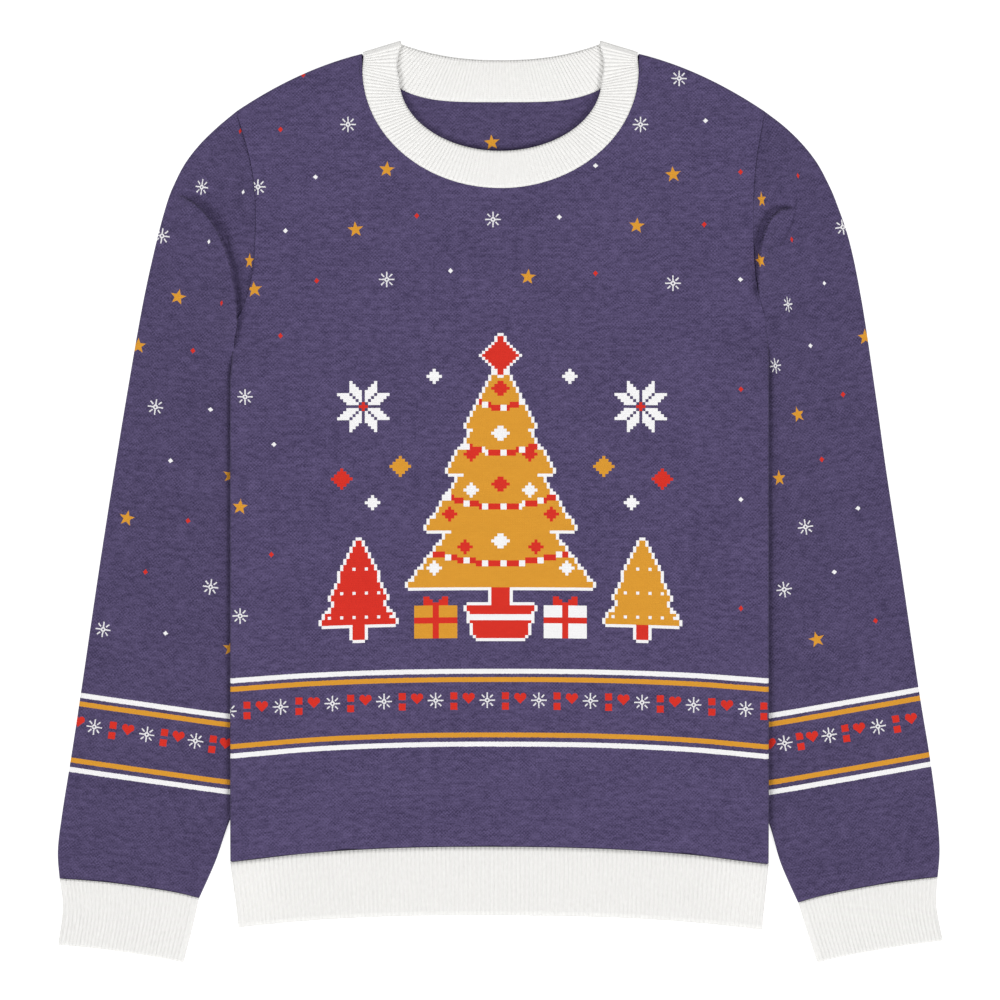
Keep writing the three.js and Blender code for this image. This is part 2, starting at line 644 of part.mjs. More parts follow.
const purpleKnit = new THREE.MeshStandardMaterial({ color: 0x524a6b, roughness: 0.95, metalness: 0 });
const whiteRib = new THREE.MeshStandardMaterial({ color: 0xf0efed, roughness: 0.95, metalness: 0 });

function mesh(name, geometry, material) {
  const made = new THREE.Mesh(geometry, material);
  made.name = name;
  return made;
}

const sweater = new THREE.Group();
sweater.add(
  mesh(
    "front_panel",
    panel(panelTops(frontNeckline()), FRONT_ROWS, layerOf(1, CREASES_NEAR_FRONT)),
    purpleKnit,
  ),
  mesh("back_panel", panel(panelTops(backNeckline()), BACK_ROWS, layerOf(-1, [])), purpleKnit),
  mesh("sleeve_left", sleeve(-1, SLEEVE_CREASES.left), purpleKnit),
  mesh("sleeve_right", sleeve(1, SLEEVE_CREASES.right), purpleKnit),
  mesh("hem_rib_front", hemBand(1), whiteRib),
  mesh("hem_rib_back", hemBand(-1), whiteRib),
  mesh("cuff_left", cuff(-1), whiteRib),
  mesh("cuff_right", cuff(1), whiteRib),
  mesh("neckband", neckband(), whiteRib),
);

export default sweater;
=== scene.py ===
"""A knitted Christmas sweater that lies flat on its back, seen from straight above.

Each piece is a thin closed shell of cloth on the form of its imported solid, worked out here from the
same named sizes at a finer pitch. Sizes are in millimetres until a mesh is made: X across the
garment, Y up it from hem to neck, Z up from the table. Colours come from the knitting's own charts.
"""

from functools import partialmethod
from math import cos, pi, radians, sin

import bpy
import numpy as np
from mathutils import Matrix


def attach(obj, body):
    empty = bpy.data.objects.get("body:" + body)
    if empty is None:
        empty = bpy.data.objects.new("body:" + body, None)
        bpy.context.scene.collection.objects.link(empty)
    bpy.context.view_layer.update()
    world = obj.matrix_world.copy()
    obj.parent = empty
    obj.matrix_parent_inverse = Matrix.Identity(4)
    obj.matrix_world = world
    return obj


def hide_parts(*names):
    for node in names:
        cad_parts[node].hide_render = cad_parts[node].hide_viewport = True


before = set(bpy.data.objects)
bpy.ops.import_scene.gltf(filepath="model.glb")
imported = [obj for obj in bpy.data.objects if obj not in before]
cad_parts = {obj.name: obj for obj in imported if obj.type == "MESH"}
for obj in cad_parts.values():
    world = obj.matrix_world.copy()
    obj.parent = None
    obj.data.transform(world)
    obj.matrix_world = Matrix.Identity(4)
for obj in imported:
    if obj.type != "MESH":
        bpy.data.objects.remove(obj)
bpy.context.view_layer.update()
MM = 0.001

# Cloth and how its layers stack
CLOTH = 2.0
RIB_CLOTH = 2.4
SLEEVE_CLOTH = 1.3  # thinner than the solids, so that the armpit folds have room
RIB_RISE = 1.0  # 0.7 in the solids; more here, or the ribs wouldn't show under soft light
NECK_RIB_RISE = 0.75
SEAM_GAP = 0.3
CURVED_SEAM_GAP = 0.12  # the solids keep 0.7 here, and 0.3 at the hem
HEM_GAP = 0.12
FOLD_HEIGHT = 4.8
FULL_HEIGHT = 6.2
FOLD_REACH = 25
BAND_EXTRA = 0.6
FOLD_RADIUS = FOLD_HEIGHT / 2
ARC_ANGLES = np.radians([22.5, 45, 67.5, 90])
ARC_INSETS = FOLD_RADIUS * (1 - np.sin(ARC_ANGLES))
SHOULDER_SLOPE = radians(24)

# Body
SIDE_X = 214.5
UNDERARM_X, UNDERARM_Y = 215.0, 140
SHOULDER_TIP_X, SHOULDER_TIP_Y = 211.5, 313
NECK_POINT = np.array([110.4, 360.4])
SHOULDER_START_X, SHOULDER_START_Y = 111, 359.0
SHOULDER_BOW = 5.4
ARMHOLE_BOW, ARMHOLE_SWAY = 14.1, 3.2
BOW_POWER, BOW_SKEW = 2.8, 1.2
HEM_SEAM = {"y": -276.4, "drop": 12.8, "power": 2.4}
HEM_EDGE = {"y": -330.8, "drop": 10.4, "power": 2.6}
HEM_EDGE_HALF = 209.6
HEM_LEVEL, HEM_TILT = 0.6, 0.0042  # rise of the hem in the photo, and its slope up to the left
# How much further out the body's left side is, where that begins across the body, over which heights
# it comes in under the armpit and goes again at the hem, and what share goes there
LEFT_OUT = {"by": 1.6, "from": -150, "armpit": (118, 95), "hem": (-290, -330), "lost": 0.8}

# Neck
NECK_SEAM = {"half": 110.4, "depth": 94.4, "y": 345.6}
NECK_EDGE = {"half": 80.8, "depth": 56.8, "y": 337.6}
NECK_FOLD_EDGE = np.array([80, 369.6])
BACK_SEAM_Y, BACK_SEAM_POWER = 320.4, 4
BACK_EDGE_Y, BACK_EDGE_POWER = 354, 2.3
NECK_FRONT_Z = 4.0
NECK_CURVE = 2.6  # how far the front band's edge curves out beside the back band
SIDE_RIB_SPREAD = 1.3  # the ribs are wider where the band runs straight up to its fold

# Ribs
HEM_RIB = 3.5
NECK_RIB = 2.8
RIB_POINTS = 6  # points across one rib
RIB_TIGHT = 0.6  # below 1 the ribs are plump and their grooves narrow

# Lift of the body's side over the tucked sleeve
LIFT = {"height": 5.1, "start": 154, "wander": 7, "wave": 190, "full": 198}
LIFT_TOP, LIFT_TOP_FULL, LIFT_BOTTOM_FULL, LIFT_BOTTOM = 140, 101, -267, -346

# Sleeve and cuff rows: outer x, outer y, inner x, inner y, bow, sway, lean, then how the right sleeve
# differs from the mean of both: outer edge further out, outer edge higher, inner edge lower. Zeros at
# a row's end are left out.
SLEEVE_ROWS = [
    (211.5, 313, 215.0, 140, ARMHOLE_BOW, ARMHOLE_SWAY),
    (226.8, 300.8, 214.75, 132, 12.4, 2.8, 0, 0.6),
    (241.2, 286.8, 214.5, 125, 10.6, 2.3, 0, 0.6),
    (252.9, 271.8, 214.1, 119, 9.1, 1.9, 0, 0.6),
    (261.3, 256.2, 213.4, 112, 7.6, 1.5, 0, 0.7),
    (268.2, 239.6, 212.8, 102, 6, 1.2, 0, 1.0),
    (278.0, 207, 211, 88, 4, 0.8, 0, 2.0),
    (288.3, 158, 205, 66, 3, 0.4, 0, 1.6),
    (299.4, 89.6, 200.5, 30, 2, 0, 0, 0.7),
    (309.1, 25.6, 199, -25, 1.5, 0, 0.2, 0.1),
    (321.4, -54.4, 199, -90, 1, 0, 0.4, 0.1),
    (335.5, -150.4, 199.5, -173, 0.5, 0, 0.8, 0.5),
    (343.6, -202, 205.5, -226, 0.5, 0, 1.2, 1.2),
    (350.1, -246.4, 218.2, -262.5, 1, 0, 1.5, 0.9),
    (353.2, -278, 226.6, -289, 2, 0, 1.8, 0.4, 0.3, 1),
    (351.8, -300.6, 239.8, -318.8, 2.8, 0, 1.5, 0, 0.6, 1.8),
]
CUFF_ROWS = [
    (351.8, -300.8, 239.8, -319.0, 2.8, 0, 1.5, 0, 0.6, 1.8),
    (350, -324.6, 246, -342, 2.2, 0, 0.7, 0, 1.0, 1.2),
    (354.4, -352.8, 253.8, -368.8, 2, 0, 0, 0, 1.7),
]
ROW_LENGTH = 10
TUCK_MARGIN = 3
TUCK_REACH = 22
SLEEVE_RINGS, SLEEVE_TOP_POINTS, SLEEVE_UNDER_POINTS = 241, 131, 41
CLOSER = 0.35  # how much closer the points of its top are by the armpit's folds
CUFF_RIBS = 33
CUFF_POINTS, HEM_POINTS, NECK_POINTS = 17, 15, 13  # along the ribs
SEAM_DIP, EDGE_DIP, NECK_DIP = 0.5, 0.15, 0.2  # of a band's face at its seam and free edge
CUFF_YARN, HEM_YARN, NECK_YARN = -500, -600, -900  # where a band's flecks lie, away from the others'
GROOVE_SHARE = 0.6  # depth of the grooves underneath next to the ribs' height

# Creases: a, via, b, half-width and height on the left of the way from a to b, and the same on its
# right where it differs: there the cloth makes a step, as at a tuck
BODY_CREASES = [
    ((151, 52), (168, -18), (195, -94), 13, -1.6),
    ((-158, -206), (-146, -240), (-124, -280), 8, -1.6),
    ((-17, -204), (-15, -240), (-7, -280), 11, -0.9),
    ((179, -228), (168, -250), (149, -280), 9, -1.2),
    ((-150, 64), (-158, 24), (-163, -16), 11, -0.9),
    ((118, 333), (150, 324), (182, 322), 8, -1.3),
]
# On the +X side; the left sleeve's are mirrored
LEFT_SLEEVE_CREASES = [
    ((264, 247), (212.5, 237), (210, 132), 11, 5.6, 4.8, -3.1),
    ((256, 244), (238, 240), (224, 216), 4, 0, 11, -2.4),
    ((246, 238), (212, 230), (206, 168), 9, -0.4, 9, -1.2),
    ((212, 296), (201, 262), (202, 180), 8, -1.8),
    ((209, 306), (206, 296), (204, 285), 6, -1.1),
    ((300, 20), (270, 0), (240, 6), 12, -1.0),
    ((334, -262), (320, -285), (318, -303), 9, -1.0),
]
RIGHT_SLEEVE_CREASES = [
    ((238, 235), (205, 241), (206.5, 169), 8, 5.0, 5.0, -3.1),
    ((236, 235), (208, 242), (206, 196), 4, 0, 9, -2.0),
    ((236, 254), (240, 228), (226, 208), 8, 0.2, 6, -1.0),
    ((213, 300), (208, 280), (207, 246), 6, -2.0),
    ((204, 200), (206, 176), (214, 150), 6, -1.4),
    ((304, 34), (278, 8), (246, 0), 12, -1.0),
    ((330, -258), (318, -280), (316, -303), 9, -1.0),
]
BODY_LIMITS = (-1.9, 1.4)
SLEEVE_LIMITS = (-3.2, 5.6)
CREASE_STEPS = 49
LOWEST_TOP = 2 * SLEEVE_CLOTH + SEAM_GAP  # of a sleeve's top, over its underside
ARMHOLE_STEP = 0.8  # how far the body's edge stands above the sleeve's at the armhole
ARMHOLE_REACH = 22
ARMHOLE_FADE, SHOULDER_FADE = 30, 12  # that step grows over these, from underarm and shoulder
STEP_EASE = 0.3  # share of a step's length over which it begins
TUCK_GROOVE = (1.7, 5.0)  # depth and half-width of the sleeve's dip along the body's side
# Small unevenness of cloth that was smoothed by hand: wave length, direction in degrees, height
PUCKERS = [(37, 20, 0.10), (23, 105, 0.08), (61, 150, 0.12), (14, 70, 0.05), (89, 45, 0.12)]

# Knitting
FRONT_HALF_COLUMNS = 86  # stitches of the picture in half the body's width
FRONT_ROWS = 174  # and from the hem seam up to the underarm
DROOP_FADE = 1.25  # the courses level out towards the underarm
BIRDSEYE = 2.8  # repeat of the purple ground's two-tone check

# Yarns as they look in even light, 0 to 255
PURPLE = (99, 87, 128)
DARK_PURPLE = (61, 52, 86)
GOLD = ((231, 164, 52), (216, 147, 42))  # plain and flecked, as the next ones
WHITE = ((255, 255, 255), (246, 244, 246))
RED = ((230, 52, 36), (208, 40, 30))
RIB_WHITE = ((255, 254, 252), (240, 239, 236))
# Painted shade: the ground of the back and the sleeves is darkened by this share, though it is the same
# yarn as the front's
PAINTED_SHADE_TONE = 0.965  # of the back and the sleeves next to the front
LIGHT = 1.31  # what a white surface sends up under this scene's lights

# Stripes: place up the body, half their width
STRIPE_HALF = 1.95
WHITE_STRIPES = (-135.4, -193.8)
GOLD_STRIPES = (-142.0, -186.4)
# A sleeve's courses: their slope, the middle of the sleeve at the border, how far its stripes are
# below the origin there, and how much further apart than the body's
SLEEVE_COURSES = {-1: (-0.142, -272.4, 163.8, 1.035), 1: (0.176, 275.6, 160.6, 1.05)}
BORDER_Y = -158.5
BORDER_PITCH = 41.28
BORDER_START = -217.0
BORDER_COUNT, BORDER_PAST = 11, 4  # groups, and how far a motif's middle may lie past the side
# A group of the border: kind, place along it, rise over its middle
BORDER_GROUP = [("flake", 0, 0), ("pair", 14.56, -0.6), ("heart", 26.4, 1.6)]

# Small motifs by kind: number in the shader, reach in millimetres
KINDS = {
    "star": (1, 6.5), "dot": (2, 2.4), "spark": (3, 2.4),
    "flake": (4, 6.4), "pair": (5, 3.6), "heart": (6, 5.2),
}
SPOT_LIMIT = 10.5
FRONT_SPOTS = {
    "star": [(-91, 266), (138, 262), (109, 221), (-116, 218), (22, 180), (-197, 170), (-208, -4)],
    "dot": [
        (-158, 342), (-176, 298), (192, 264), (-67, 229), (163, 222), (76, 183),
        (-147, 177), (-176, 133), (192, 90), (-183, -42), (192, -85),
    ],
    "spark": [
        (164, 305), (76, 269), (-148, 260), (47, 228), (-172, 217), (-40, 185),
        (192, 178), (-181, 46), (192, 2),
    ],
    "flake": [
        (143, 339), (112, 302), (-122, 302), (-194, 252), (-6, 226), (-91, 178),
        (138, 175), (-204, 84), (-208, -91),
    ],
}
# A third number is how narrow the cloth's slant makes a motif near the armhole
LEFT_SPOTS = {
    "star": [(-258, 164), (-290, 125), (-299, -13), (-201, 193, 0.6), (-216, 21), (-216, -117)],
    "dot": [(-208.5, 297, 0.6), (-223, 159, 0.6), (-246, 121), (-250, -15), (-284, -56)],
    "spark": [(-206, 248, 0.6), (-233, 208, 0.62), (-232, 74), (-264, 33), (-268, -105)],
    "flake": [
        (-239, 252, 0.82), (-271, 213), (-276, 76), (-232, -68), (-318, -102),
        (-325, -180), (-283, -186), (-244, -191),
    ],
    "pair": [(-310.4, -182.7), (-269.3, -188.5), (-230.4, -193.8)],
    "heart": [(-337.8, -175.6), (-298, -182.2), (-257.7, -187.6), (-220, -193.3)],
}
RIGHT_SPOTS = {
    "star": [
        (209, 242, 0.55), (208, 193, 0.55), (292, 132), (238, 70, 0.8), (223, 19, 0.8), (253, -110),
    ],
    "dot": [(238, 261, 0.6), (233, 210, 0.6), (274, 86), (257, 34), (300, -95)],
    "spark": [(259, 175, 0.65), (248, 125, 0.8), (286, -5), (267, -56)],
    "flake": [
        (274, 220), (230, 158, 0.55), (220, 109, 0.7), (244, -20), (227, -70),
        (227.4, -193), (263, -186.5), (302, -179.6),
    ],
    "pair": [(239.8, -191.5), (276.2, -185.1), (316.8, -177.7)],
    "heart": [(215.8, -193.7), (249.4, -187.7), (287, -181), (328.6, -173.4)],
}


def smooth(start, end, x):
    """Rises softly from 0 at start to 1 at end."""
    t = np.clip((x - start) / (end - start), 0, 1)
    return t * t * (3 - 2 * t)


def lerp(a, b, t):
    return a + (b - a) * t


def stack_height(distance, flat=FOLD_RADIUS, reach=FOLD_REACH):
    return lerp(FOLD_HEIGHT, FULL_HEIGHT, smooth(flat, flat + reach, distance))


def mirrored(creases):
    flip = lambda p: (-p[0], p[1])
    return [(flip(a), flip(via), flip(b), *right, *left) for a, via, b, left, right in sided(creases)]


def sided(creases):
    """Creases with the two numbers of each side together."""
    return [(a, via, b, tuple(more[:2]), tuple(more[-2:])) for a, via, b, *more in creases]


def full_share(height):
    return (height - FOLD_HEIGHT) / (FULL_HEIGHT - FOLD_HEIGHT)


def relief(creases, x, y, share, limits=BODY_LIMITS):
    """Sum of the creases at points, in full where the share is 1."""
    x, y = np.broadcast_arrays(x, y)
    total = np.zeros(x.shape)
    for a, via, b, left, right in sided(creases):
        a, via, b = np.array(a), np.array(via), np.array(b)
        nearest, side, place = np.full(x.shape, np.inf), np.zeros(x.shape), np.zeros(x.shape)
        for t in np.linspace(0, 1, CREASE_STEPS):
            px, py = (1 - t) ** 2 * a + 2 * t * (1 - t) * via + t * t * b
            run = (1 - t) * (via - a) + t * (b - via)
            away = np.hypot(x - px, y - py)
            closer = away < nearest
            side = np.where(closer, run[0] * (y - py) - run[1] * (x - px), side)
            place = np.where(closer, t, place)
            nearest = np.minimum(nearest, away)
        bump = lambda width, rise: rise * np.exp(-((nearest / width) ** 2))
        step = np.where(side > 0, bump(*left), bump(*right))
        total += step * (smooth(0, STEP_EASE, place) if left != right else 1)
    return share * (np.clip(total, *limits) + pucker(x, y))


def pucker(x, y):
    total = 0
    for k, (length, degrees, height) in enumerate(PUCKERS):
        along = x * cos(radians(degrees)) + y * sin(radians(degrees))
        beside = y * cos(radians(degrees)) - x * sin(radians(degrees))
        bend = 0.9 * np.sin(beside / (0.8 * length) + 1.7 * k)
        total = total + height * np.sin(2 * np.pi * along / length + bend + k)
    return total


def lift(x, y):
    start = LIFT["start"] + LIFT["wander"] * np.sin(2 * np.pi * y / LIFT["wave"] + np.sign(x))
    across = smooth(start, LIFT["full"], np.abs(x))
    ends = (LIFT_TOP, LIFT_TOP_FULL), (LIFT_BOTTOM, LIFT_BOTTOM_FULL)
    return LIFT["height"] * across * smooth(*ends[0], y) * smooth(*ends[1], y)


def shoulder_y(x):
    t = np.clip((np.abs(x) - SHOULDER_START_X) / (SHOULDER_TIP_X - SHOULDER_START_X), 0, 1)
    return lerp(SHOULDER_START_Y, SHOULDER_TIP_Y, t) + SHOULDER_BOW * 4 * t * (1 - t)


def bowed(s):
    """Shape of a bowed line across the garment: 0 at its ends and 1 at about its middle."""
    return 1 - np.abs(2 * np.clip(s, 0, 1) ** BOW_SKEW - 1) ** BOW_POWER


def panel_half_width(y, side):
    s = np.clip((SHOULDER_TIP_Y - y) / (SHOULDER_TIP_Y - UNDERARM_Y), 0, 1)
    seam = lerp(SHOULDER_TIP_X, UNDERARM_X, s) - (ARMHOLE_BOW - side * ARMHOLE_SWAY) * bowed(s)
    return np.where(y <= UNDERARM_Y, SIDE_X, seam - CURVED_SEAM_GAP)


def body_stack(x, y):
    x = np.abs(x)
    to_shoulder = np.maximum(0, shoulder_y(x) - y) * cos(SHOULDER_SLOPE)
    to_side = np.where(y <= UNDERARM_Y, SIDE_X - x, np.hypot(UNDERARM_X - x, y - UNDERARM_Y))
    step = ARMHOLE_STEP * smooth(UNDERARM_Y, UNDERARM_Y + ARMHOLE_FADE, y)
    step = step * (1 - smooth(0, ARMHOLE_REACH, to_side)) * smooth(0, SHOULDER_FADE, to_shoulder)
    return stack_height(np.minimum(to_shoulder, np.maximum(0, to_side))), step


def droop(edge, share):
    return edge["y"] - edge["drop"] * np.abs(share) ** edge["power"]


def table_at(rows, shares):
    """Rows of a table at fractional places, on a Catmull-Rom curve through them."""
    rows = np.array([row + (0,) * (ROW_LENGTH - len(row)) for row in rows], float)
    last = len(rows) - 1
    at = np.asarray(shares) * last
    i = np.minimum(np.floor(at).astype(int), last - 1)
    t = (at - i)[:, None]
    p0, p1, p2, p3 = [rows[np.clip(i + k, 0, last)] for k in (-1, 0, 1, 2)]
    bend = 2 * p0 - 5 * p1 + 4 * p2 - p3 + t * (3 * (p1 - p2) + p3 - p0)
    return p1 + 0.5 * t * (p2 - p0 + t * bend)


class Grid:
    """A cloth wall between an outer and an inner grid of points [column, row, xyz].

    knit has the place in the knitting of every grid point, across and along, in millimetres; with
    wrap it has one column more than the points, as the last column joins the first.
    """

    def __init__(self, outer, inner, knit, wrap=False):
        self.outer, self.inner, self.knit, self.wrap = outer, inner, knit, wrap
        self.columns, self.rows = outer.shape[:2]

    def cells(self):
        """Column and row of each cell of the grid."""
        count = self.columns if self.wrap else self.columns - 1
        return [c.ravel() for c in np.meshgrid(np.arange(count), np.arange(self.rows - 1), indexing="ij")]

    def quads(self):
        """Vertex indices, knitting places, places on the map and layer (0 outer, 1 inner, 2 rim)."""
        n = self.columns * self.rows
        wide, high = self.knit.shape[0] - 1, self.rows - 1
        square = [(0, 0), (1, 0), (1, 1), (0, 1)]
        parts = []

        def add(corners, place, layer):
            """Adds cells by their corners: column, row and which of the two layers."""
            parts.append((
                np.stack([s * n + (i % self.columns) * self.rows + j for i, j, s in corners], -1),
                np.stack([self.knit[i, j] for i, j, s in corners], 1),
                np.stack([place(*corner) for corner in corners], 1),
                layer,
            ))

        c, r = self.cells()
        for layer, (low, top) in enumerate([(0.30, 0.99), (0.04, 0.27)]):
            corners = [(c + i, r + j, layer) for i, j in square[:: 1 - 2 * layer]]
            add(corners, lambda i, j, s: self.map(i / wide, lerp(low, top, j / high)), layer)
        c = np.arange(wide)
        for row, low, turn in ((0, 0.002, -1), (high, 0.018, 1)):
            corners = [(c + i, row, s) for i, s in square[::turn]]
            add(corners, lambda i, j, s: self.map(i / wide, low + 0.01 * s), 2)
        r = np.arange(high)
        for column, left, turn in () if self.wrap else ((0, 0.990, 1), (wide, 0.995, -1)):
            corners = [(column, r + j, s) for j, s in square[::turn]]
            add(corners, lambda i, j, s: np.stack([left + 0.004 * s + 0 * j, 0.3 + 0.69 * j / high], -1), 2)
        return parts

    @staticmethod
    def map(u, v):
        return np.stack([0.004 + 0.98 * np.asarray(u), np.broadcast_to(v, np.shape(u))], -1)


def make_mesh(name, grid, material, spots=None, yarn=None):
    """A mesh of a grid. spots is a list of (motifs, layer, cells) and yarn a chart by column and row."""
    points = np.concatenate([grid.outer.reshape(-1, 3), grid.inner.reshape(-1, 3)])
    parts = grid.quads()
    quads, knit, flat = [np.concatenate([p[k] for p in parts]) for k in range(3)]
    layers = np.concatenate([np.full(len(p[0]), p[3]) for p in parts])
    a, b, c, d = [points[quads[:, k]] for k in range(4)]
    volume = (a * np.cross(b, c)).sum() + (a * np.cross(c, d)).sum()
    if volume < 0:
        quads, knit, flat = quads[:, ::-1], knit[:, ::-1], flat[:, ::-1]
    mesh = bpy.data.meshes.new(name)
    mesh.from_pydata((points * MM).tolist(), [], quads.tolist())
    mesh.polygons.foreach_set("use_smooth", np.ones(len(quads), bool))
    uv = mesh.uv_layers.new(name="OFBake")
    uv.data.foreach_set("uv", flat.reshape(-1).astype(np.float32))
    place = np.zeros((len(quads) * 4, 3), np.float32)
    place[:, :2] = knit.reshape(-1, 2)
    centres = points[quads].mean(1)
    spot = np.zeros((len(quads), 3), np.float32)
    turn = np.tile(np.array([1, 0, 1], np.float32), (len(quads), 1))
    for motifs, layer, wanted in spots or ():
        chosen = layers == layer
        if wanted is not None:
            chosen[np.nonzero(chosen)[0]] = wanted
        put_spots(spot, turn, centres, chosen, motifs)
    for label, where, values in (("knit", "CORNER", place), ("spot", "FACE", spot), ("turn", "FACE", turn)):
        mesh.attributes.new(label, "FLOAT_VECTOR", where).data.foreach_set("vector", values.ravel())
    colours = np.zeros(len(quads), np.float32)
    if yarn is not None:
        colours[: len(yarn)] = yarn
    mesh.attributes.new("yarn", "FLOAT", "FACE").data.foreach_set("value", colours)
    mesh.materials.append(material)
    mesh.update()
    return add_object(name, mesh)


def add_object(name, data):
    thing = bpy.data.objects.new(name, data)
    bpy.context.scene.collection.objects.link(thing)
    return thing


def put_spots(spot, turn, centres, chosen, motifs):
    """Gives each chosen face the nearest motif: (kind, x, y, degrees, squeeze)."""
    if not motifs:
        return
    faces = np.nonzero(chosen)[0]
    places = np.array([m[1:3] for m in motifs], float)
    reaches = np.array([KINDS[m[0]][1] for m in motifs])
    away = np.hypot(*(centres[faces, None, k] - places[:, k] for k in (0, 1)))
    best = np.argmin(away - reaches, axis=1)
    near = away[np.arange(len(faces)), best] < SPOT_LIMIT
    faces, best = faces[near], best[near]
    angles = np.radians([m[3] for m in motifs])
    spot[faces, 0:2] = places[best]
    spot[faces, 2] = np.array([KINDS[m[0]][0] for m in motifs])[best]
    turn[faces, 0] = np.cos(angles)[best]
    turn[faces, 1] = np.sin(angles)[best]
    turn[faces, 2] = np.array([m[4] for m in motifs])[best]


def motif_list(table, tilt=0.0, star_tilt=5.0):
    """The motifs of a table, with every second star tilted the other way."""
    motifs = []
    for kind, places in table.items():
        for k, (x, y, *narrow) in enumerate(places):
            lean = star_tilt * (1 if k % 2 else -1) if kind == "star" else 0
            motifs.append((kind, x, y, tilt + lean, *(narrow or [1.0])))
    return motifs


def scatter(x0, x1, y0, y1, seed):
    """An uneven scatter of the small motifs, for the sides that the photo doesn't show."""
    random = np.random.default_rng(seed)
    names = ["star", "spark", "flake", "dot"]
    motifs = []
    pitch = 44
    for row, y in enumerate(np.arange(y0, y1, pitch * 0.8)):
        for column, x in enumerate(np.arange(x0 + (row % 2) * pitch / 2, x1, pitch)):
            dx, dy, lean = random.uniform(-1, 1, 3) * (8, 7, 5)
            motifs.append((names[(column + 3 * row) % 4], x + dx, y + dy, lean, 1.0))
    return motifs


def body_course(x, along):
    """Height in the plan of a course of the body's knitting at x."""
    fade = np.clip((UNDERARM_Y - along) / (UNDERARM_Y - HEM_SEAM["y"]), 0, 1) ** DROOP_FADE
    drop = HEM_SEAM["drop"] * fade * np.abs(x / SIDE_X) ** HEM_SEAM["power"]
    return along - drop + hem_rise(x) * smooth(BORDER_Y, HEM_SEAM["y"], along)


def hem_rise(x):
    return HEM_LEVEL - HEM_TILT * x


def left_out(grid):
    """Moves the left side of a piece of the body out a little below the armpit."""
    for points in (grid.outer, grid.inner):
        x, y = points[..., 0], points[..., 1]
        share = smooth(LEFT_OUT["from"], -SIDE_X, x) * smooth(*LEFT_OUT["armpit"], y)
        points[..., 0] = x - LEFT_OUT["by"] * share * (1 - LEFT_OUT["lost"] * smooth(*LEFT_OUT["hem"], y))
    return grid


def border_row():
    motifs = []
    for k in range(BORDER_COUNT):
        for kind, step, rise in BORDER_GROUP:
            x = BORDER_START + BORDER_PITCH * k + step
            if abs(x) < SIDE_X + BORDER_PAST:
                motifs.append((kind, x, body_course(x, BORDER_Y) + rise, 0.0, 1.0))
    return motifs


# Body panels


def neckline(facing, count):
    """Places of the neckline from the middle line out, and the direction up out of the panel."""
    if facing > 0:
        angle = np.radians(np.linspace(0, 90, count - 2))
        x = (NECK_SEAM["half"] + CURVED_SEAM_GAP) * np.sin(angle)
        y = NECK_SEAM["y"] - (NECK_SEAM["depth"] + CURVED_SEAM_GAP) * np.cos(angle)
        normal = np.stack([-np.sin(angle), np.cos(angle)], -1)
        rest = np.linspace(y[-1], SHOULDER_START_Y, 4)[1:-1]
        x = np.append(x, [x[-1]] * 2)
        y = np.append(y, rest)
        normal = np.concatenate([normal, [normal[-1]] * 2])
        return x, y, normal
    seam = neck_fold()[2]
    share = np.sin(np.radians(np.linspace(0, 90, count)))
    rise = seam[1] - BACK_SEAM_Y
    slope = BACK_SEAM_POWER * rise * share ** (BACK_SEAM_POWER - 1) / seam[0]
    across = CURVED_SEAM_GAP / np.hypot(slope, 1)
    x = seam[0] * share + across * slope
    y = BACK_SEAM_Y + rise * share**BACK_SEAM_POWER - across
    return x, y, np.tile([0.0, 1.0], (count, 1))


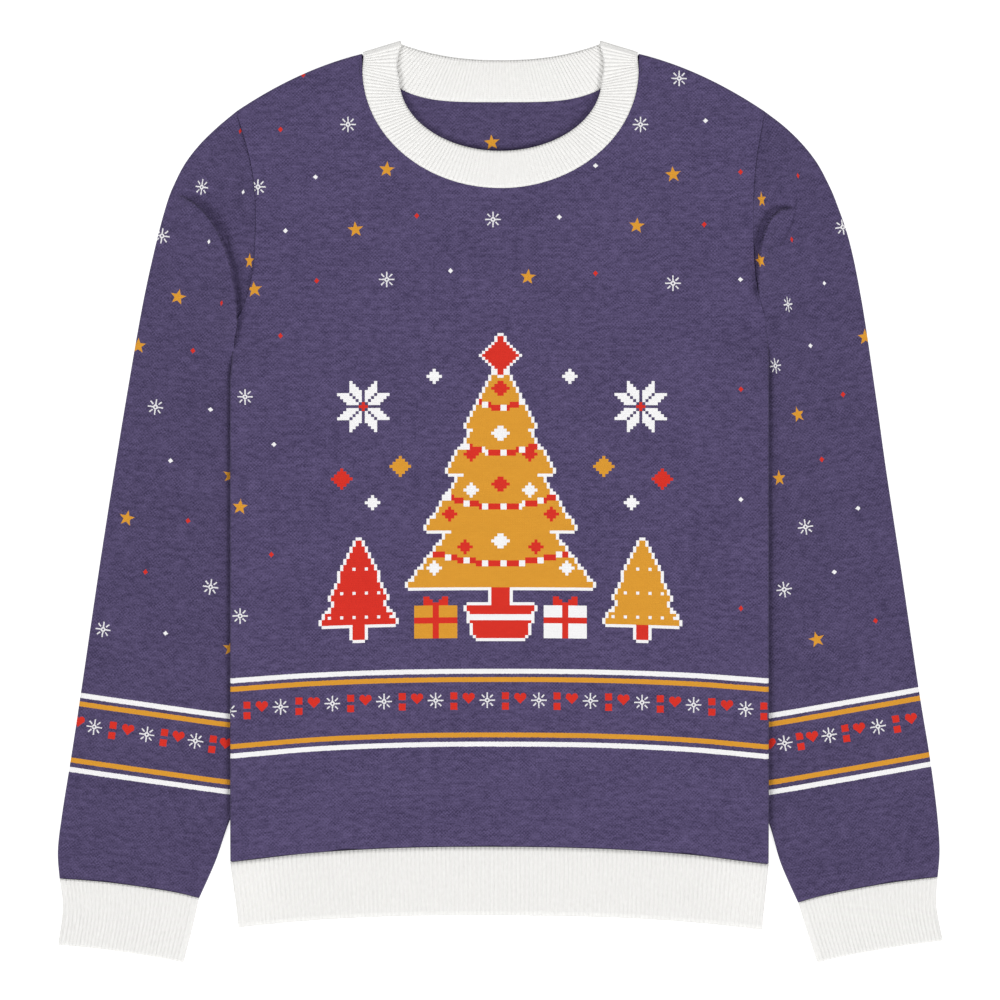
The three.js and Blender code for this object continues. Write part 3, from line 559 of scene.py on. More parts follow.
def panel(facing, half_columns, neck_columns, rows_below, rows_above, creases):
    """A body panel as a grid, from the hem seam to the neckline and the shoulders."""
    x, y, normal = neckline(facing, neck_columns)
    tip = SHOULDER_TIP_X - CURVED_SEAM_GAP
    shoulder = np.linspace(SHOULDER_START_X, tip - FOLD_RADIUS, half_columns + 1 - neck_columns)
    past_neck = np.append(shoulder, tip - ARC_INSETS)
    top_x, top_y = np.append(x, past_neck), np.append(y, shoulder_y(past_neck))
    up = np.tile([0.0, 1.0], (len(top_x), 1))
    up[: len(x)] = normal
    ease = 6  # columns over which the shoulder's points stop leaning away from the neck
    up[len(x) : len(x) + ease, 0] = -1 + np.arange(ease) / ease
    column = np.arange(len(top_x))
    folds = column >= neck_columns
    share = np.minimum(column / half_columns, 1)
    arc = np.concatenate([np.zeros(half_columns + 1), ARC_ANGLES])
    order = np.append(column[:0:-1], column)
    side = np.where(np.arange(len(order)) < len(top_x) - 1, -1.0, 1.0)[:, None]
    top_x, top_y, up, folds, share, arc = [v[order] for v in (top_x, top_y, up, folds, share, arc)]

    base_x, base_y = (np.stack([top_x, top_y], -1) - FOLD_RADIUS * up).T[..., None]
    top_x, top_y, folds, share, arc = [v[:, None] for v in (top_x, top_y, folds, share, arc)]
    top_share = base_x / (panel_half_width(base_y, side) - FOLD_RADIUS)
    along = np.linspace(HEM_SEAM["y"], UNDERARM_Y, rows_below + 1)
    low_y = body_course(side * share * (SIDE_X - FOLD_RADIUS), along)
    low_y[:, 0] += HEM_GAP / 2
    start = np.where(arc > 0, UNDERARM_Y + FOLD_RADIUS / 4, UNDERARM_Y)
    high_y = lerp(start, base_y, np.linspace(0, 1, rows_above + 1)[1:])
    ys = np.concatenate([low_y, high_y], 1)
    edge = panel_half_width(ys, side)
    climb = np.clip((ys - UNDERARM_Y) / (base_y - UNDERARM_Y), 0, 1)
    spread = (edge - FOLD_RADIUS) * lerp(share, top_share, climb)
    xs = np.where(arc > 0, edge - FOLD_RADIUS * (1 - np.sin(arc)), spread)
    arcs = np.where(ys <= UNDERARM_Y, arc, 0)
    last_x, last_y = top_x - up[:, 0:1] * ARC_INSETS, top_y - up[:, 1:2] * ARC_INSETS

    xs, plan_y = np.concatenate([xs, last_x], 1), np.concatenate([ys, last_y], 1)
    arcs = np.concatenate([arcs, np.zeros_like(last_x)], 1)
    rises = np.concatenate([np.zeros_like(ys), np.where(folds, ARC_ANGLES, 0)], 1)
    stack, step = body_stack(xs, plan_y)
    floor = lift(side * xs, plan_y)
    share = full_share(stack)
    outer_z = floor + stack + step + relief(creases, side * xs, plan_y, share) if facing > 0 else floor
    inner_z = outer_z - facing * CLOTH
    if facing < 0:
        inner_z = inner_z + 0.5 * relief([], side * xs, plan_y, share)
    edge = panel_half_width(plan_y, side)

    def layer(z, radius):
        angle = np.where(arcs > 0, arcs, rises)
        turned = floor + FOLD_RADIUS + facing * np.maximum(radius * np.cos(angle), SEAM_GAP / 2)
        px = np.where(arcs > 0, edge - FOLD_RADIUS + radius * np.sin(arcs), xs)
        py = np.where(rises > 0, top_y - FOLD_RADIUS + radius * np.sin(rises), plan_y)
        return np.stack([side * px, py, np.where(angle > 0, turned, z)], -1)

    courses = np.broadcast_to(along, low_y.shape)
    knit = np.stack([side * xs, np.concatenate([courses, high_y, last_y], 1)], -1)
    return left_out(Grid(layer(outer_z, FOLD_RADIUS), layer(inner_z, FOLD_RADIUS - CLOTH), knit))


# Flattened tubes: sleeves and cuffs


def flat_tube(rows, side, along, thickness, fold_height, height, tops, unders, rise=None, groove=None):
    """A flattened tube through rows of a table, from the outer edge over the top and back.

    tops and unders are shares across its flat top and underside, rise the height of ribs at the
    tops, and groove the height of the underside's grooves.
    """
    outer_x, outer_y, inner_x, inner_y, bow, sway, lean, further, higher, lower = rows.T
    outer_end = np.stack([outer_x + side * (further - lean), outer_y + side * higher], -1)
    inner_end = np.stack([inner_x - side * lean, inner_y - side * lower], -1)
    across = inner_end - outer_end
    length = np.hypot(*across.T)
    normal = np.stack([across[:, 1], -across[:, 0]], -1) / length[:, None]
    radius = fold_height / 2
    hollow = radius - thickness

    def place(distance):
        s = distance / length
        return outer_end + across * s[:, None] + normal * ((bow - side * sway) * bowed(s))[:, None]

    outer, inner, around = [], [], []

    def put(distance, z, inner_distance, inner_z, turn):
        a, b = place(distance), place(inner_distance)
        outer.append(np.stack([side * a[:, 0], a[:, 1], z + 0 * length], -1))
        inner.append(np.stack([side * b[:, 0], b[:, 1], inner_z + 0 * length], -1))
        around.append(turn + 0 * length)

    def fold(at_inner, angle, facing):
        s, c = sin(angle), cos(angle)
        spot = (lambda r: length - radius + r * s) if at_inner else (lambda r: radius - r * s)
        turn = spot(radius) - length / 2
        if facing < 0:
            turn = 1.5 * length - spot(radius)
        put(spot(radius), radius + facing * radius * c, spot(hollow), radius + facing * hollow * c, turn)

    for angle in ARC_ANGLES[::-1]:
        fold(False, angle, 1)
    for k, share in enumerate(tops):
        distance = lerp(radius, length - radius, share)
        p = place(distance)
        z = height(p[:, 0], p[:, 1], distance, length)
        put(distance, z + (0 if rise is None else rise[k]), distance, z - thickness, distance - length / 2)
    for angle in ARC_ANGLES:
        fold(True, angle, 1)
    for angle in ARC_ANGLES[:-1][::-1]:
        fold(True, angle, -1)
    for k, share in enumerate(unders):
        distance = lerp(length - radius, radius, share)
        put(distance, 0 if groove is None else groove[k], distance, thickness, 1.5 * length - distance)
    for angle in ARC_ANGLES[:-1]:
        fold(False, angle, -1)
    around.append(around[0] + 2 * length)
    around = np.array(around)
    knit = np.stack([side * around, np.broadcast_to(along, around.shape)], -1)
    top_columns = len(ARC_ANGLES) * 2 + len(tops)
    return Grid(np.array(outer), np.array(inner), knit, wrap=True), top_columns


def sleeve(side, creases):
    rows = table_at(SLEEVE_ROWS, np.linspace(0, 1, SLEEVE_RINGS))
    tuck = np.maximum(FOLD_RADIUS, SIDE_X + TUCK_MARGIN - rows[:, 2])
    reach = np.where(tuck > FOLD_RADIUS + TUCK_MARGIN, TUCK_REACH, FOLD_REACH)
    flat = np.where(tuck > FOLD_RADIUS + TUCK_MARGIN, tuck, FOLD_RADIUS)

    def height(x, y, distance, length):
        stack = np.minimum(stack_height(distance), stack_height(length - distance, flat, reach))
        near_seam = smooth(0, 7, length - distance) * smooth(FOLD_RADIUS, 12, distance)
        share = np.where(flat > FOLD_RADIUS, full_share(stack), near_seam)
        groove = TUCK_GROOVE[0] * np.exp(-(((x - SIDE_X) / TUCK_GROOVE[1]) ** 2))
        groove = groove * smooth(UNDERARM_Y, LIFT_TOP_FULL, y) * smooth(-285, -270, y)
        return np.maximum(stack - groove + relief(creases, x, y, share, SLEEVE_LIMITS), LOWEST_TOP)

    even = np.linspace(0, 1, SLEEVE_TOP_POINTS)
    tops, unders = even * (1 + CLOSER - CLOSER * even), np.linspace(0, 1, SLEEVE_UNDER_POINTS)
    tube, top_columns = flat_tube(rows, side, 0, SLEEVE_CLOTH, FOLD_HEIGHT, height, tops, unders)
    slope, middle, shift, stretch = SLEEVE_COURSES[side]
    x, y = np.moveaxis(np.concatenate([tube.outer, tube.outer[:1]])[..., :2], -1, 0)
    course = y - slope * (x - middle)
    tube.knit = np.stack([x + slope * y, WHITE_STRIPES[0] + (course + shift) / stretch], -1)
    return tube, top_columns


def ribs(count, rise=RIB_RISE):
    """Shares and heights of the points across a number of ribs: plump, with narrow grooves."""
    k = np.arange(count * RIB_POINTS + 1)
    return k / (count * RIB_POINTS), rise * np.sin(np.pi * (k % RIB_POINTS) / RIB_POINTS) ** RIB_TIGHT


def cuff(side):
    rows = table_at(CUFF_ROWS, np.linspace(0, 1, CUFF_POINTS))
    shares, rise = ribs(CUFF_RIBS)
    ease = edge_ease(CUFF_POINTS)

    def height(x, y, distance, length):
        return stack_height(np.minimum(distance, length - distance)) + BAND_EXTRA - ease

    along = CUFF_YARN + rows[:, [1, 3]].mean(1)
    high, groove = FOLD_HEIGHT + BAND_EXTRA, GROOVE_SHARE * (RIB_RISE - rise)
    return flat_tube(rows, side, along, RIB_CLOTH, high, height, shares, shares, rise, groove)[0]


def edge_ease(count, seam=SEAM_DIP, edge=EDGE_DIP):
    """How far a band's face dips towards its seam and its free edge, row by row."""
    t = np.linspace(0, 1, count)
    return seam * np.exp(-t * 10) + edge * np.exp(-(1 - t) * 14)


def hem_band(facing):
    radius = (FOLD_HEIGHT + BAND_EXTRA) / 2
    hollow = radius - RIB_CLOTH
    count = round(2 * (SIDE_X - radius) / HEM_RIB)
    shares, rise = ribs(count)
    across = 2 * shares - 1
    t = np.linspace(0, 1, HEM_POINTS)
    ease = edge_ease(HEM_POINTS)

    def row_y(share):
        up = hem_rise(SIDE_X * np.asarray(share))
        ends = droop(HEM_SEAM, share) - HEM_GAP / 2 + up, droop(HEM_EDGE, share) + up - HEM_LEVEL
        return lerp(*(end[..., None] for end in ends), t)

    half = lerp(SIDE_X, HEM_EDGE_HALF, t)
    x = across[:, None] * (half - radius)
    y = row_y(across)
    floor = lift(x, y)
    stack = stack_height(half - np.abs(x)) + BAND_EXTRA - ease
    if facing > 0:
        wave = 0.25 * relief(BODY_CREASES[1:4], x, y + 30, 1)
        outer_z = floor + stack + rise[:, None] + wave
        inner_z = floor + stack + wave - RIB_CLOTH
    else:
        outer_z = floor + GROOVE_SHARE * (RIB_RISE - rise)[:, None]
        inner_z = floor + RIB_CLOTH + 0 * x

    def arc(side, angle):
        ys = row_y(side)
        middle = lift(half, ys) + radius

        def make(r):
            z = middle + facing * np.maximum(r * cos(angle), SEAM_GAP / 2)
            return np.stack([side * (half - radius + r * sin(angle)), ys, z], -1)

        return make(radius), make(hollow)

    left = [arc(-1, angle) for angle in ARC_ANGLES[::-1]]
    right = [arc(1, angle) for angle in ARC_ANGLES]
    outer, inner = [
        np.concatenate([[p[k] for p in left], np.stack([x, y, z], -1), [p[k] for p in right]])
        for k, z in enumerate((outer_z, inner_z))
    ]
    knit = np.stack([outer[..., 0], np.broadcast_to(HEM_YARN - 60 * t, outer.shape[:2])], -1)
    return left_out(Grid(outer, inner, knit))


def neck_fold():
    """Where the neckband folds to the back: direction outwards, radius, middle at seam and free edge."""
    along = NECK_FOLD_EDGE - NECK_POINT
    along = along / np.hypot(*along)
    out = np.array([along[1], -along[0]])
    radius = (NECK_FRONT_Z + RIB_CLOTH) / 2
    return out, radius, NECK_POINT - out * radius, NECK_FOLD_EDGE - out * radius


def neckband():
    """The band round the neck, from station to station, with its ribs from the seam to the edge."""
    out, radius, fold_seam, fold_edge = neck_fold()
    span = (NECK_SEAM["half"] + NECK_EDGE["half"] + NECK_SEAM["depth"] + NECK_EDGE["depth"]) / 4
    curve_ribs = round(pi * span / NECK_RIB)
    straight_ribs = round((fold_edge[1] - NECK_EDGE["y"]) / (NECK_RIB * SIDE_RIB_SPREAD))
    back_ribs = round((fold_seam[0] + fold_edge[0]) / NECK_RIB)
    front = NECK_FRONT_Z + RIB_CLOTH
    stations = []

    def add(seam, edge, outer_z, inner_z, inner=None):
        stations.append((seam, edge, outer_z, inner_z, *(inner or (seam, edge))))

    def oval(shape, angle):
        return np.array([shape["half"] * sin(angle), shape["y"] - shape["depth"] * cos(angle)])

    def folded(side, angles):
        hollow = radius - RIB_CLOTH
        for angle in np.radians(angles):
            put = lambda p, r: (p + out * r * cos(angle)) * np.array([side, 1])
            outer_z, inner_z = radius * (1 + sin(angle)), radius + hollow * sin(angle)
            ends = [put(p, r) for r in (radius, hollow) for p in (fold_seam, fold_edge)]
            add(*ends[:2], outer_z, inner_z, ends[2:])

    straight = []
    for share, up in list(zip(*ribs(straight_ribs, NECK_RIB_RISE)))[1:-1]:
        seam = lerp(np.array([NECK_SEAM["half"], NECK_SEAM["y"]]), fold_seam, share)
        edge = lerp(np.array([NECK_EDGE["half"], NECK_EDGE["y"]]), fold_edge, share)
        straight.append((seam, edge + np.array([NECK_CURVE * sin(pi * share), 0]), up))
    curve = []
    for share, up in zip(*ribs(curve_ribs, NECK_RIB_RISE)):
        angle = radians(lerp(90, -90, share))
        curve.append((oval(NECK_SEAM, angle), oval(NECK_EDGE, angle), up))
    flip = np.array([-1, 1])
    other = [(seam * flip, edge * flip, up) for seam, edge, up in straight]
    for seam, edge, up in straight[::-1] + curve + other:
        add(seam, edge, front + up, NECK_FRONT_Z)
    folded(-1, np.linspace(80, -80, 9))
    shares, rise = ribs(back_ribs, NECK_RIB_RISE)
    for share, up in list(zip(2 * shares - 1, rise))[1:-1]:
        seam_y = lerp(BACK_SEAM_Y, fold_seam[1], abs(share) ** BACK_SEAM_POWER)
        edge_y = lerp(BACK_EDGE_Y, fold_edge[1], abs(share) ** BACK_EDGE_POWER)
        seam, edge = np.array([fold_seam[0] * share, seam_y]), np.array([fold_edge[0] * share, edge_y])
        add(seam, edge, 0, RIB_CLOTH + up)
    folded(1, np.linspace(-80, 80, 9))

    t = np.linspace(0, 1, NECK_POINTS)
    ease = edge_ease(NECK_POINTS, NECK_DIP, NECK_DIP)
    seam, edge, outer_z, inner_z, inner_seam, inner_edge = map(np.array, zip(*stations))
    top = outer_z[:, None] > radius
    outer_z = outer_z[:, None] - np.where(top, ease, 0)
    inner_z = inner_z[:, None] - np.where(top, 0, ease * (outer_z[:, :1] < 0.1))
    rows = lambda a, b: lerp(a[:, None, :], b[:, None, :], t[None, :, None])
    outer = np.concatenate([rows(seam, edge), outer_z[..., None]], -1)
    inner = np.concatenate([rows(inner_seam, inner_edge), inner_z[..., None]], -1)
    steps = np.hypot(*np.diff(seam, axis=0, append=seam[:1]).T)
    around = np.concatenate([[0], np.cumsum(steps)])
    knit = np.stack(np.broadcast_arrays(around[:, None], NECK_YARN - 34 * t), -1)
    return Grid(outer, inner, knit, wrap=True)


# The picture on the front: a generic winter design, charted here stitch by stitch

PURPLE_YARN, GOLD_YARN, WHITE_YARN, RED_YARN = 0, 1, 2, 3
CHART_HALF = 62  # stitches on each side of the middle line
CHART_FOOT, CHART_ROWS = 69, 103  # first row above the hem seam, and height
# Tiers of the tree: lowest row, highest row, half its width at each
BIG_TREE = [(18, 43, 30, 11), (37, 62, 24, 8), (56, 77, 17, 5), (71, 91, 11, 1)]
SMALL_TREE = [(6, 17, 12, 5), (14, 25, 9, 3), (22, 33, 6, 1)]
SMALL_TREE_AT, PARCEL, PETAL_STAR = 46, 21, (45, 78)
# Diamonds on both sides: stitches from the middle line, row, reach, yarn
DIAMONDS = [(45, 78, 1, 3), (33, 58, 3, 1), (52, 54, 3, 3), (22, 88, 2, 2), (42, 46, 2, 2)]
# Swags: row at the middle, half its length, sag
SWAGS = [(25, 26, 5), (44, 19, 4), (62, 13, 3), (77, 7, 2)]
# Baubles: stitches from the middle line, row, yarn
BAUBLES = [
    (0, 33, WHITE_YARN), (11, 31, RED_YARN), (21, 24, WHITE_YARN), (0, 52, RED_YARN),
    (9, 50, WHITE_YARN), (16, 42, RED_YARN), (0, 69, WHITE_YARN), (9, 62, RED_YARN), (0, 84, RED_YARN),
]


def grown(mask, steps=1):
    """A mask with its rim moved out by a number of stitches, corners left off."""
    for _ in range(steps):
        wide = mask.copy()
        wide[1:] |= mask[:-1]
        wide[:-1] |= mask[1:]
        wide[:, 1:] |= mask[:, :-1]
        wide[:, :-1] |= mask[:, 1:]
        mask = wide
    return mask


def tree_mask(column, row, middle, foot, tiers):
    across = np.abs(column + 0.5 - middle)
    mask = np.zeros(column.shape, bool)
    for low, high, wide, narrow in tiers:
        share = np.floor((row - foot - low) / 2) * 2 / (high - low)
        half = lerp(wide, narrow, share)
        mask |= (row >= foot + low) & (row <= foot + high) & (across <= half)
    return mask


def petal_star(column, row, middle, centre):
    """A star of eight petals, as in old northern patterns."""
    x = np.abs(column - middle)
    y = np.abs(row - centre)
    low, high = np.minimum(x, y), np.maximum(x, y)
    return (low >= 1) & (low <= 4) & (high >= low + 1) & (high <= low + 4)


def picture():
    """The chart: yarn by column from the left and row from the bottom."""
    column, row = np.meshgrid(np.arange(-CHART_HALF, CHART_HALF), np.arange(CHART_ROWS), indexing="ij")
    across = np.abs(column + 0.5)
    chart = np.full(column.shape, PURPLE_YARN)

    trunk = (across <= 3) & (row >= 10) & (row < 18)
    pot = (row >= 1) & (row <= 11) & (across <= 8 + row / 4)
    tree = tree_mask(column, row, 0, 0, BIG_TREE)
    chart[grown(tree | trunk | pot)] = WHITE_YARN
    chart[tree] = GOLD_YARN
    chart[pot] = RED_YARN
    chart[pot & (row >= 7) & (row <= 8)] = WHITE_YARN
    chart[trunk & ~pot] = RED_YARN
    for middle, half, sag in SWAGS:
        height = np.round(middle + sag * (across / half) ** 2)
        swag = (across <= half) & ((row == height) | (row == height + 1)) & tree
        chart[swag] = np.where(column[swag] % 6 < 2, WHITE_YARN, RED_YARN)
    for x, y, yarn in BAUBLES:
        bauble = (np.abs(across - x - 0.5 * (x > 0)) + np.abs(row - y) <= 2.5) & tree
        chart[bauble] = yarn
    top = (across + np.abs(row - 95) * 0.9 <= 5.5) | (across <= 1) & (np.abs(row - 95) <= 6)
    chart[grown(top)] = WHITE_YARN
    chart[top] = RED_YARN

    for side in (-1, 1):
        small = tree_mask(column, row, side * SMALL_TREE_AT, 0, SMALL_TREE)
        stem = (np.abs(column + 0.5 - side * SMALL_TREE_AT) <= 2) & (row >= 1) & (row < 6)
        chart[grown(small | stem)] = WHITE_YARN
        chart[small] = RED_YARN if side < 0 else GOLD_YARN
        chart[stem] = RED_YARN
        beads = small & ((row - 8) % 8 == 0) & (column % 4 == 0)
        chart[beads] = WHITE_YARN
        chart[petal_star(column, row, side * PETAL_STAR[0], PETAL_STAR[1])] = WHITE_YARN
        for x, y, reach, yarn in DIAMONDS:
            chart[np.abs(column - side * x) + np.abs(row - y) <= reach] = yarn
        beside = np.abs(column + 0.5 - side * PARCEL)
        parcel = (beside <= 7) & (row >= 1) & (row <= 11)
        ribbon = parcel & ((beside <= 1) | (row == 6) | (row == 7))
        bow = (beside <= 4) & (row >= 12) & (row <= 14) & (beside + 1 >= row - 11)
        chart[parcel] = GOLD_YARN if side < 0 else WHITE_YARN
        chart[ribbon | bow] = RED_YARN
    return chart


def chart_on_front(grid):
    """The yarn of each cell of the front panel's grid."""
    c, r = grid.cells()
    middle = (grid.columns - 1) // 2
    column, row = c - middle + CHART_HALF, r - CHART_FOOT
    inside = (column >= 0) & (column < 2 * CHART_HALF) & (row >= 0) & (row < CHART_ROWS)
    yarn = np.zeros(len(c))
    yarn[inside] = picture()[column[inside], row[inside]]
    return yarn


# Materials


class Term:
    """A number in a material's node tree, written with the usual signs."""

    def __init__(self, tree, socket):
        self.tree, self.socket = tree, socket

    def math(self, operation, *others, clamp=False):
        node = self.tree.nodes.new("ShaderNodeMath")
        node.operation = operation
        node.use_clamp = clamp
        for slot, value in zip(node.inputs, (self, *others)):
            if isinstance(value, Term):
                self.tree.links.new(value.socket, slot)
            else:
                slot.default_value = value
        return Term(self.tree, node.outputs[0])

    __add__ = partialmethod(math, "ADD")
    __sub__ = partialmethod(math, "SUBTRACT")
    __mul__ = partialmethod(math, "MULTIPLY")
    __truediv__ = partialmethod(math, "DIVIDE")
    __abs__ = partialmethod(math, "ABSOLUTE")
    least = partialmethod(math, "MINIMUM")
    most = partialmethod(math, "MAXIMUM")
    sin = partialmethod(math, "SINE")
    cos = partialmethod(math, "COSINE")
    pingpong = partialmethod(math, "PINGPONG")

    def hypot(self, other):
        return (self * self + other * other).math("SQRT")

    def share(self):
        """A number about 0 as a share about a half, from 0 to 1."""
        return self.math("ADD", 0.5, clamp=True)

    def inside(self):
        """1 where a distance in millimetres is below 0, with a soft edge."""
        return (self / -0.35).share()

    def equals(self, number):
        return self.math("COMPARE", number, 0.25)


def set_inputs(node, values):
    for name, value in values.items():
        node.inputs[name].default_value = value


def split(tree, socket):
    node = tree.nodes.new("ShaderNodeSeparateXYZ")
    tree.links.new(socket, node.inputs[0])
    return [Term(tree, node.outputs[k]) for k in range(3)]


def attribute(tree, name, output="Vector"):
    node = tree.nodes.new("ShaderNodeAttribute")
    node.attribute_name = name
    return node.outputs[output]


def noise(across, along, wide, high, detail=2.0):
    """Noise from 0 to 1 with blots of a width and height in millimetres."""
    tree = across.tree
    join = tree.nodes.new("ShaderNodeCombineXYZ")
    tree.links.new((across / wide).socket, join.inputs[0])
    tree.links.new((along / high).socket, join.inputs[1])
    node = tree.nodes.new("ShaderNodeTexNoise")
    set_inputs(node, {"Scale": 1.0, "Detail": detail})
    tree.links.new(join.outputs[0], node.inputs["Vector"])
    return Term(tree, node.outputs[0])


def linear(rgb):
    """An albedo that looks like the given colour under this scene's lights."""
    channel = lambda c: c / 12.92 if c <= 0.04045 else ((c + 0.055) / 1.055) ** 2.4
    return (*[channel(c / 255) / LIGHT for c in rgb], 1)


def mix(base, colour, share):
    """base with a colour laid over it. base and colour are sockets or plain colours."""
    tree = share.tree
    node = tree.nodes.new("ShaderNodeMix")
    node.data_type = "RGBA"
    tree.links.new(share.socket, node.inputs["Factor"])
    for slot, value in ((node.inputs[6], base), (node.inputs[7], colour)):
        if isinstance(value, tuple):
            slot.default_value = value
        else:
            tree.links.new(value, slot)
    return node.outputs[2]


def star_edge(u, v):
    """Distance to the edge of a five-pointed star."""
    tip, notch = 6.5, 2.75
    radius, angle = u.hypot(v), u.math("ARCTAN2", v).pingpong(radians(36))
    edge = np.array([notch * cos(radians(36)) - tip, notch * sin(radians(36))])
    out = np.array([edge[1], -edge[0]]) / np.hypot(*edge)
    x, y = radius * angle.cos(), radius * angle.sin()
    return (x - tip) * float(out[0]) + y * float(out[1])


def flake_edge(u, v):
    """Distance to the edge of a snowflake of eight arms, the slanting ones set off from the middle."""
    radius, turn = u.hypot(v), u.math("ARCTAN2", v)
    angle = turn.pingpong(radians(22.5))
    upright = turn.pingpong(radians(45)).math("LESS_THAN", radians(22.5))
    start = upright * -1.2 + 3.0
    arm = (radius * angle.sin() - 0.52).most(radius * angle.cos() - 6.2).most(start - radius)
    ring = abs(radius - 1.35) - 0.6
    return arm.least(ring)


def heart_edge(u, v):
    u, v = u * 1.07, v * 1.07
    across = abs(u)
    lobe = (across - 2.55).hypot(v - 1.9) - 2.6
    point = ((across - v - 4.7) * 0.72).most(v - 1.9).most(across - 5.15)
    return lobe.least(point)


def knit_colour(tree, across, along, shade_tone):
    """The jacquard's colour: ground, stripes, small motifs and the charted picture."""
    check = (across * (pi / BIRDSEYE * 2)).sin() * (along * (pi / BIRDSEYE * 2)).sin()
    heather = noise(across, along, 8.0, 3.2, 4.0)
    stitches = noise(across, along, 1.5, 1.3, 1.0)
    cloud = noise(across, along, 60.0, 30.0)
    patch = noise(across + 300, along, 12.0, 9.0)
    check = check * (patch * 2.6 - 0.7)
    shade = check * 0.4 + (stitches - 0.5) * 1.4 + (heather - 0.5) * 1.5 + (cloud - 0.5) * 0.4
    # shade_tone below 1 darkens both purples of the ground as painted shade
    light, dark = [linear([c * shade_tone for c in yarn]) for yarn in (PURPLE, DARK_PURPLE)]
    colour = mix(light, dark, shade.share())

    places = tree.nodes.new("ShaderNodeTexCoord")
    x, y, _ = split(tree, places.outputs["Object"])
    spot_x, spot_y, kind = split(tree, attribute(tree, "spot"))
    cosine, sine, squeeze = split(tree, attribute(tree, "turn"))
    dx, dy = x * 1000 - spot_x, y * 1000 - spot_y
    u = (dx * cosine + dy * sine) / squeeze
    v = dy * cosine - dx * sine
    wobble = (noise(across, along, 1.5, 1.5, 0.0) - 0.5) * 0.5

    show = lambda edge, name: (edge + wobble).inside() * kind.equals(KINDS[name][0])
    gold = show(star_edge(u, v), "star")
    dot = show((abs(u) + abs(v) * 0.85 - 1.95) * 0.75, "dot")
    pair = show(abs(u).most(abs(abs(v) - 4.16)) - 2.8, "pair")
    heart = show(heart_edge(u, v), "heart")
    spark = show((abs(u) * 0.95 + abs(v) - 1.95) * 0.75, "spark")
    flake = show(flake_edge(u, v), "flake") * 0.9
    red = dot.most(pair).most(heart)
    white = spark.most(flake)
    stripe = lambda line: (abs(along - line) - STRIPE_HALF + wobble).inside()
    for line in WHITE_STRIPES:
        white = white.most(stripe(line))
    for line in GOLD_STRIPES:
        gold = gold.most(stripe(line))
    chart = Term(tree, attribute(tree, "yarn", "Fac"))
    fleck = (heather - 0.5) * 0.5 + 0.5
    for share, number, yarn in ((gold, GOLD_YARN, GOLD), (white, WHITE_YARN, WHITE), (red, RED_YARN, RED)):
        flecked = mix(linear(yarn[0]), linear(yarn[1]), fleck)
        colour = mix(colour, flecked, share.most(chart.equals(number)))
    return colour


def stitch_height(across, along, wide, high):
    """The V shapes of plain knitting."""
    slant = across.pingpong(wide / 2) * (0.55 * high / (wide / 2))
    rows = ((along + slant) * (2 * pi / high)).sin()
    wales = (across * (pi / wide)).sin()
    return abs(wales) * 0.6 + rows * 0.4


def new_material(name):
    material = bpy.data.materials.new(name)
    material.use_nodes = True
    return material, material.node_tree.nodes["Principled BSDF"]


def cloth_material(name, ribbed, shade_tone=1.0):
    """Knitted cloth, ribbed or jacquard. shade_tone is how light the ground is next to the front's; below 1
    it is painted shade.
    """
    material, shader = new_material(name)
    tree = material.node_tree
    set_inputs(shader, {"Roughness": 0.95, "Specular IOR Level": 0.12})
    set_inputs(shader, {"Sheen Weight": 0.06, "Sheen Roughness": 0.6})
    across, along, _ = split(tree, attribute(tree, "knit"))
    if ribbed:
        fleck = ((noise(across, along, 1.6, 4.0, 3.0) - 0.5) * 1.2).share()
        colour = mix(linear(RIB_WHITE[0]), linear(RIB_WHITE[1]), fleck)
        height = stitch_height(across, along, 1.75, 1.6)
    else:
        colour = knit_colour(tree, across, along, shade_tone)
        height = stitch_height(across, along, 1.4, 1.4)
    height = height + noise(across, along, 0.9, 0.7) * 0.5
    tree.links.new(colour, shader.inputs["Base Color"])
    bump = tree.nodes.new("ShaderNodeBump")
    set_inputs(bump, {"Strength": 0.5, "Distance": 0.35 * MM})
    tree.links.new(height.socket, bump.inputs["Height"])
    tree.links.new(bump.outputs[0], shader.inputs["Normal"])
    return material


def put(name, grid, node, slot_name, material, flat, area, rests_on, **extra):
    """Makes a piece, attaches it to the root body and hides the CAD node that it stands for."""
    piece = make_mesh(name, grid, material, **extra)
    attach(piece, "root")
    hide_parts(node)


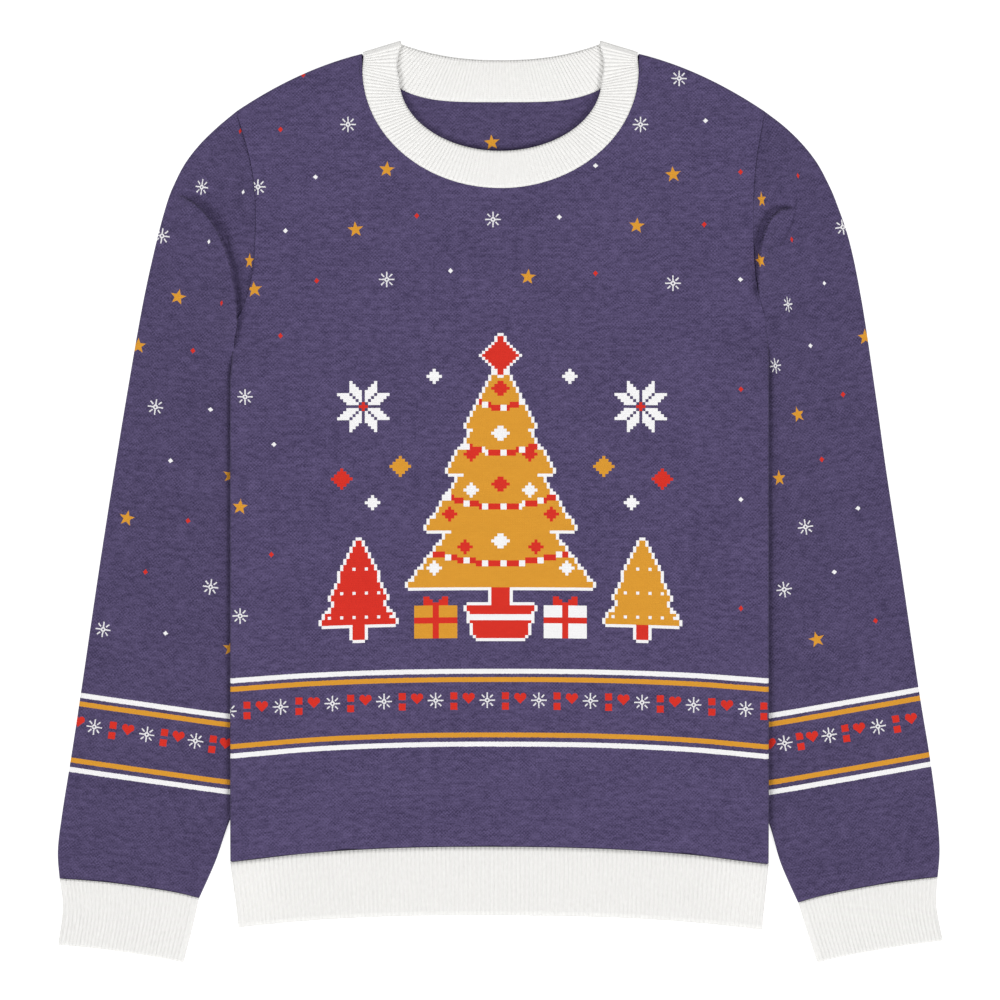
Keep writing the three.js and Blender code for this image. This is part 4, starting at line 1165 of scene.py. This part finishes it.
def build():
    knit = cloth_material("jacquard_knit", ribbed=False)
    # painted shade: a darker copy of the jacquard, for the back and the sleeves
    painted_shade_knit = cloth_material("jacquard_knit_painted_shade", ribbed=False, shade_tone=PAINTED_SHADE_TONE)
    rib = cloth_material("rib_knit", ribbed=True)
    near_front = BODY_CREASES + RIGHT_SLEEVE_CREASES[:2] + mirrored(LEFT_SLEEVE_CREASES[:2])
    body, band = (0.429, 0.650), (0.429, 0.055)

    back = panel(-1, 44, 24, 84, 26, [])
    outside, inside = scatter(-200, 205, -120, 300, 7) + border_row(), [("star", -7, 288, 5, 1.0)]
    spots = [(outside, 0, None), (inside, 1, None)]
    put("back_cloth", back, "back_panel", "back_knit", painted_shade_knit, body, 0.258, "floor", spots=spots)
    front = panel(1, FRONT_HALF_COLUMNS, 46, FRONT_ROWS, 48, near_front)
    put(
        "front_cloth", front, "front_panel", "front_knit", knit, body, 0.246, "back_cloth",
        spots=[(motif_list(FRONT_SPOTS) + border_row(), 0, None)],
        yarn=chart_on_front(front),
    )
    for side, name, table, creases, tilt in (
        (-1, "left", LEFT_SPOTS, LEFT_SLEEVE_CREASES, -8.0),
        (1, "right", RIGHT_SPOTS, RIGHT_SLEEVE_CREASES, 9.0),
    ):
        tube, top_columns = sleeve(side, creases)
        x0, x1 = sorted((side * 205, side * 345))
        unseen = scatter(x0, x1, -120, 290, 11 + side)
        columns, _ = tube.cells()
        on_top = columns < top_columns
        put(
            f"sleeve_{name}_cloth", tube, f"sleeve_{name}", f"sleeve_{name}_knit", painted_shade_knit,
            (0.30, 0.64), 0.1275, "floor",
            spots=[(motif_list(table, tilt), 0, on_top), (unseen, 0, ~on_top)],
        )
        node = f"cuff_{name}"
        put(f"{node}_cloth", cuff(side), node, "rib_knit", rib, (0.235, 0.052), None, "floor")
    put("hem_back_cloth", hem_band(-1), "hem_rib_back", "rib_knit", rib, band, None, "floor")
    put("hem_front_cloth", hem_band(1), "hem_rib_front", "rib_knit", rib, band, None, "hem_back_cloth")
    put("neckband_cloth", neckband(), "neckband", "rib_knit", rib, (0.56, 0.031), 0.0163, "back_cloth")


def surroundings():
    """Floor, soft light from all round and from both sides, and the camera straight above."""
    scene = bpy.context.scene
    scene.view_settings.view_transform = "Standard"
    mesh = bpy.data.meshes.new("floor")
    mesh.from_pydata([(-4, -4, 0), (4, -4, 0), (4, 4, 0), (-4, 4, 0)], [], [(0, 1, 2, 3)])
    paint, shader = new_material("floor_white")
    set_inputs(shader, {"Base Color": (0.5, 0.5, 0.5, 1), "Roughness": 1.0, "Specular IOR Level": 0.0})
    set_inputs(shader, {"Emission Color": (1, 1, 1, 1), "Emission Strength": 0.75})
    mesh.materials.append(paint)
    add_object("floor", mesh)

    scene.world = bpy.data.worlds.new("studio")
    scene.world.use_nodes = True
    set_inputs(scene.world.node_tree.nodes["Background"], {"Color": (1, 1, 1, 1), "Strength": 0.64})
    for side in (-1, 1):
        lamp = bpy.data.lights.new("side_light", "SUN")
        lamp.energy = 1.5
        lamp.angle = radians(24)
        light = add_object("side_light", lamp)
        light.rotation_euler = (radians(27), radians(side * 38), 0)

    lens = bpy.data.cameras.new("camera")
    lens.lens = 112.5
    lens.sensor_width = 36
    lens.clip_end = 20
    scene.camera = add_object("camera", lens)
    scene.camera.location = (-0.0004, 0.0016, 2.506)


build()
surroundings()
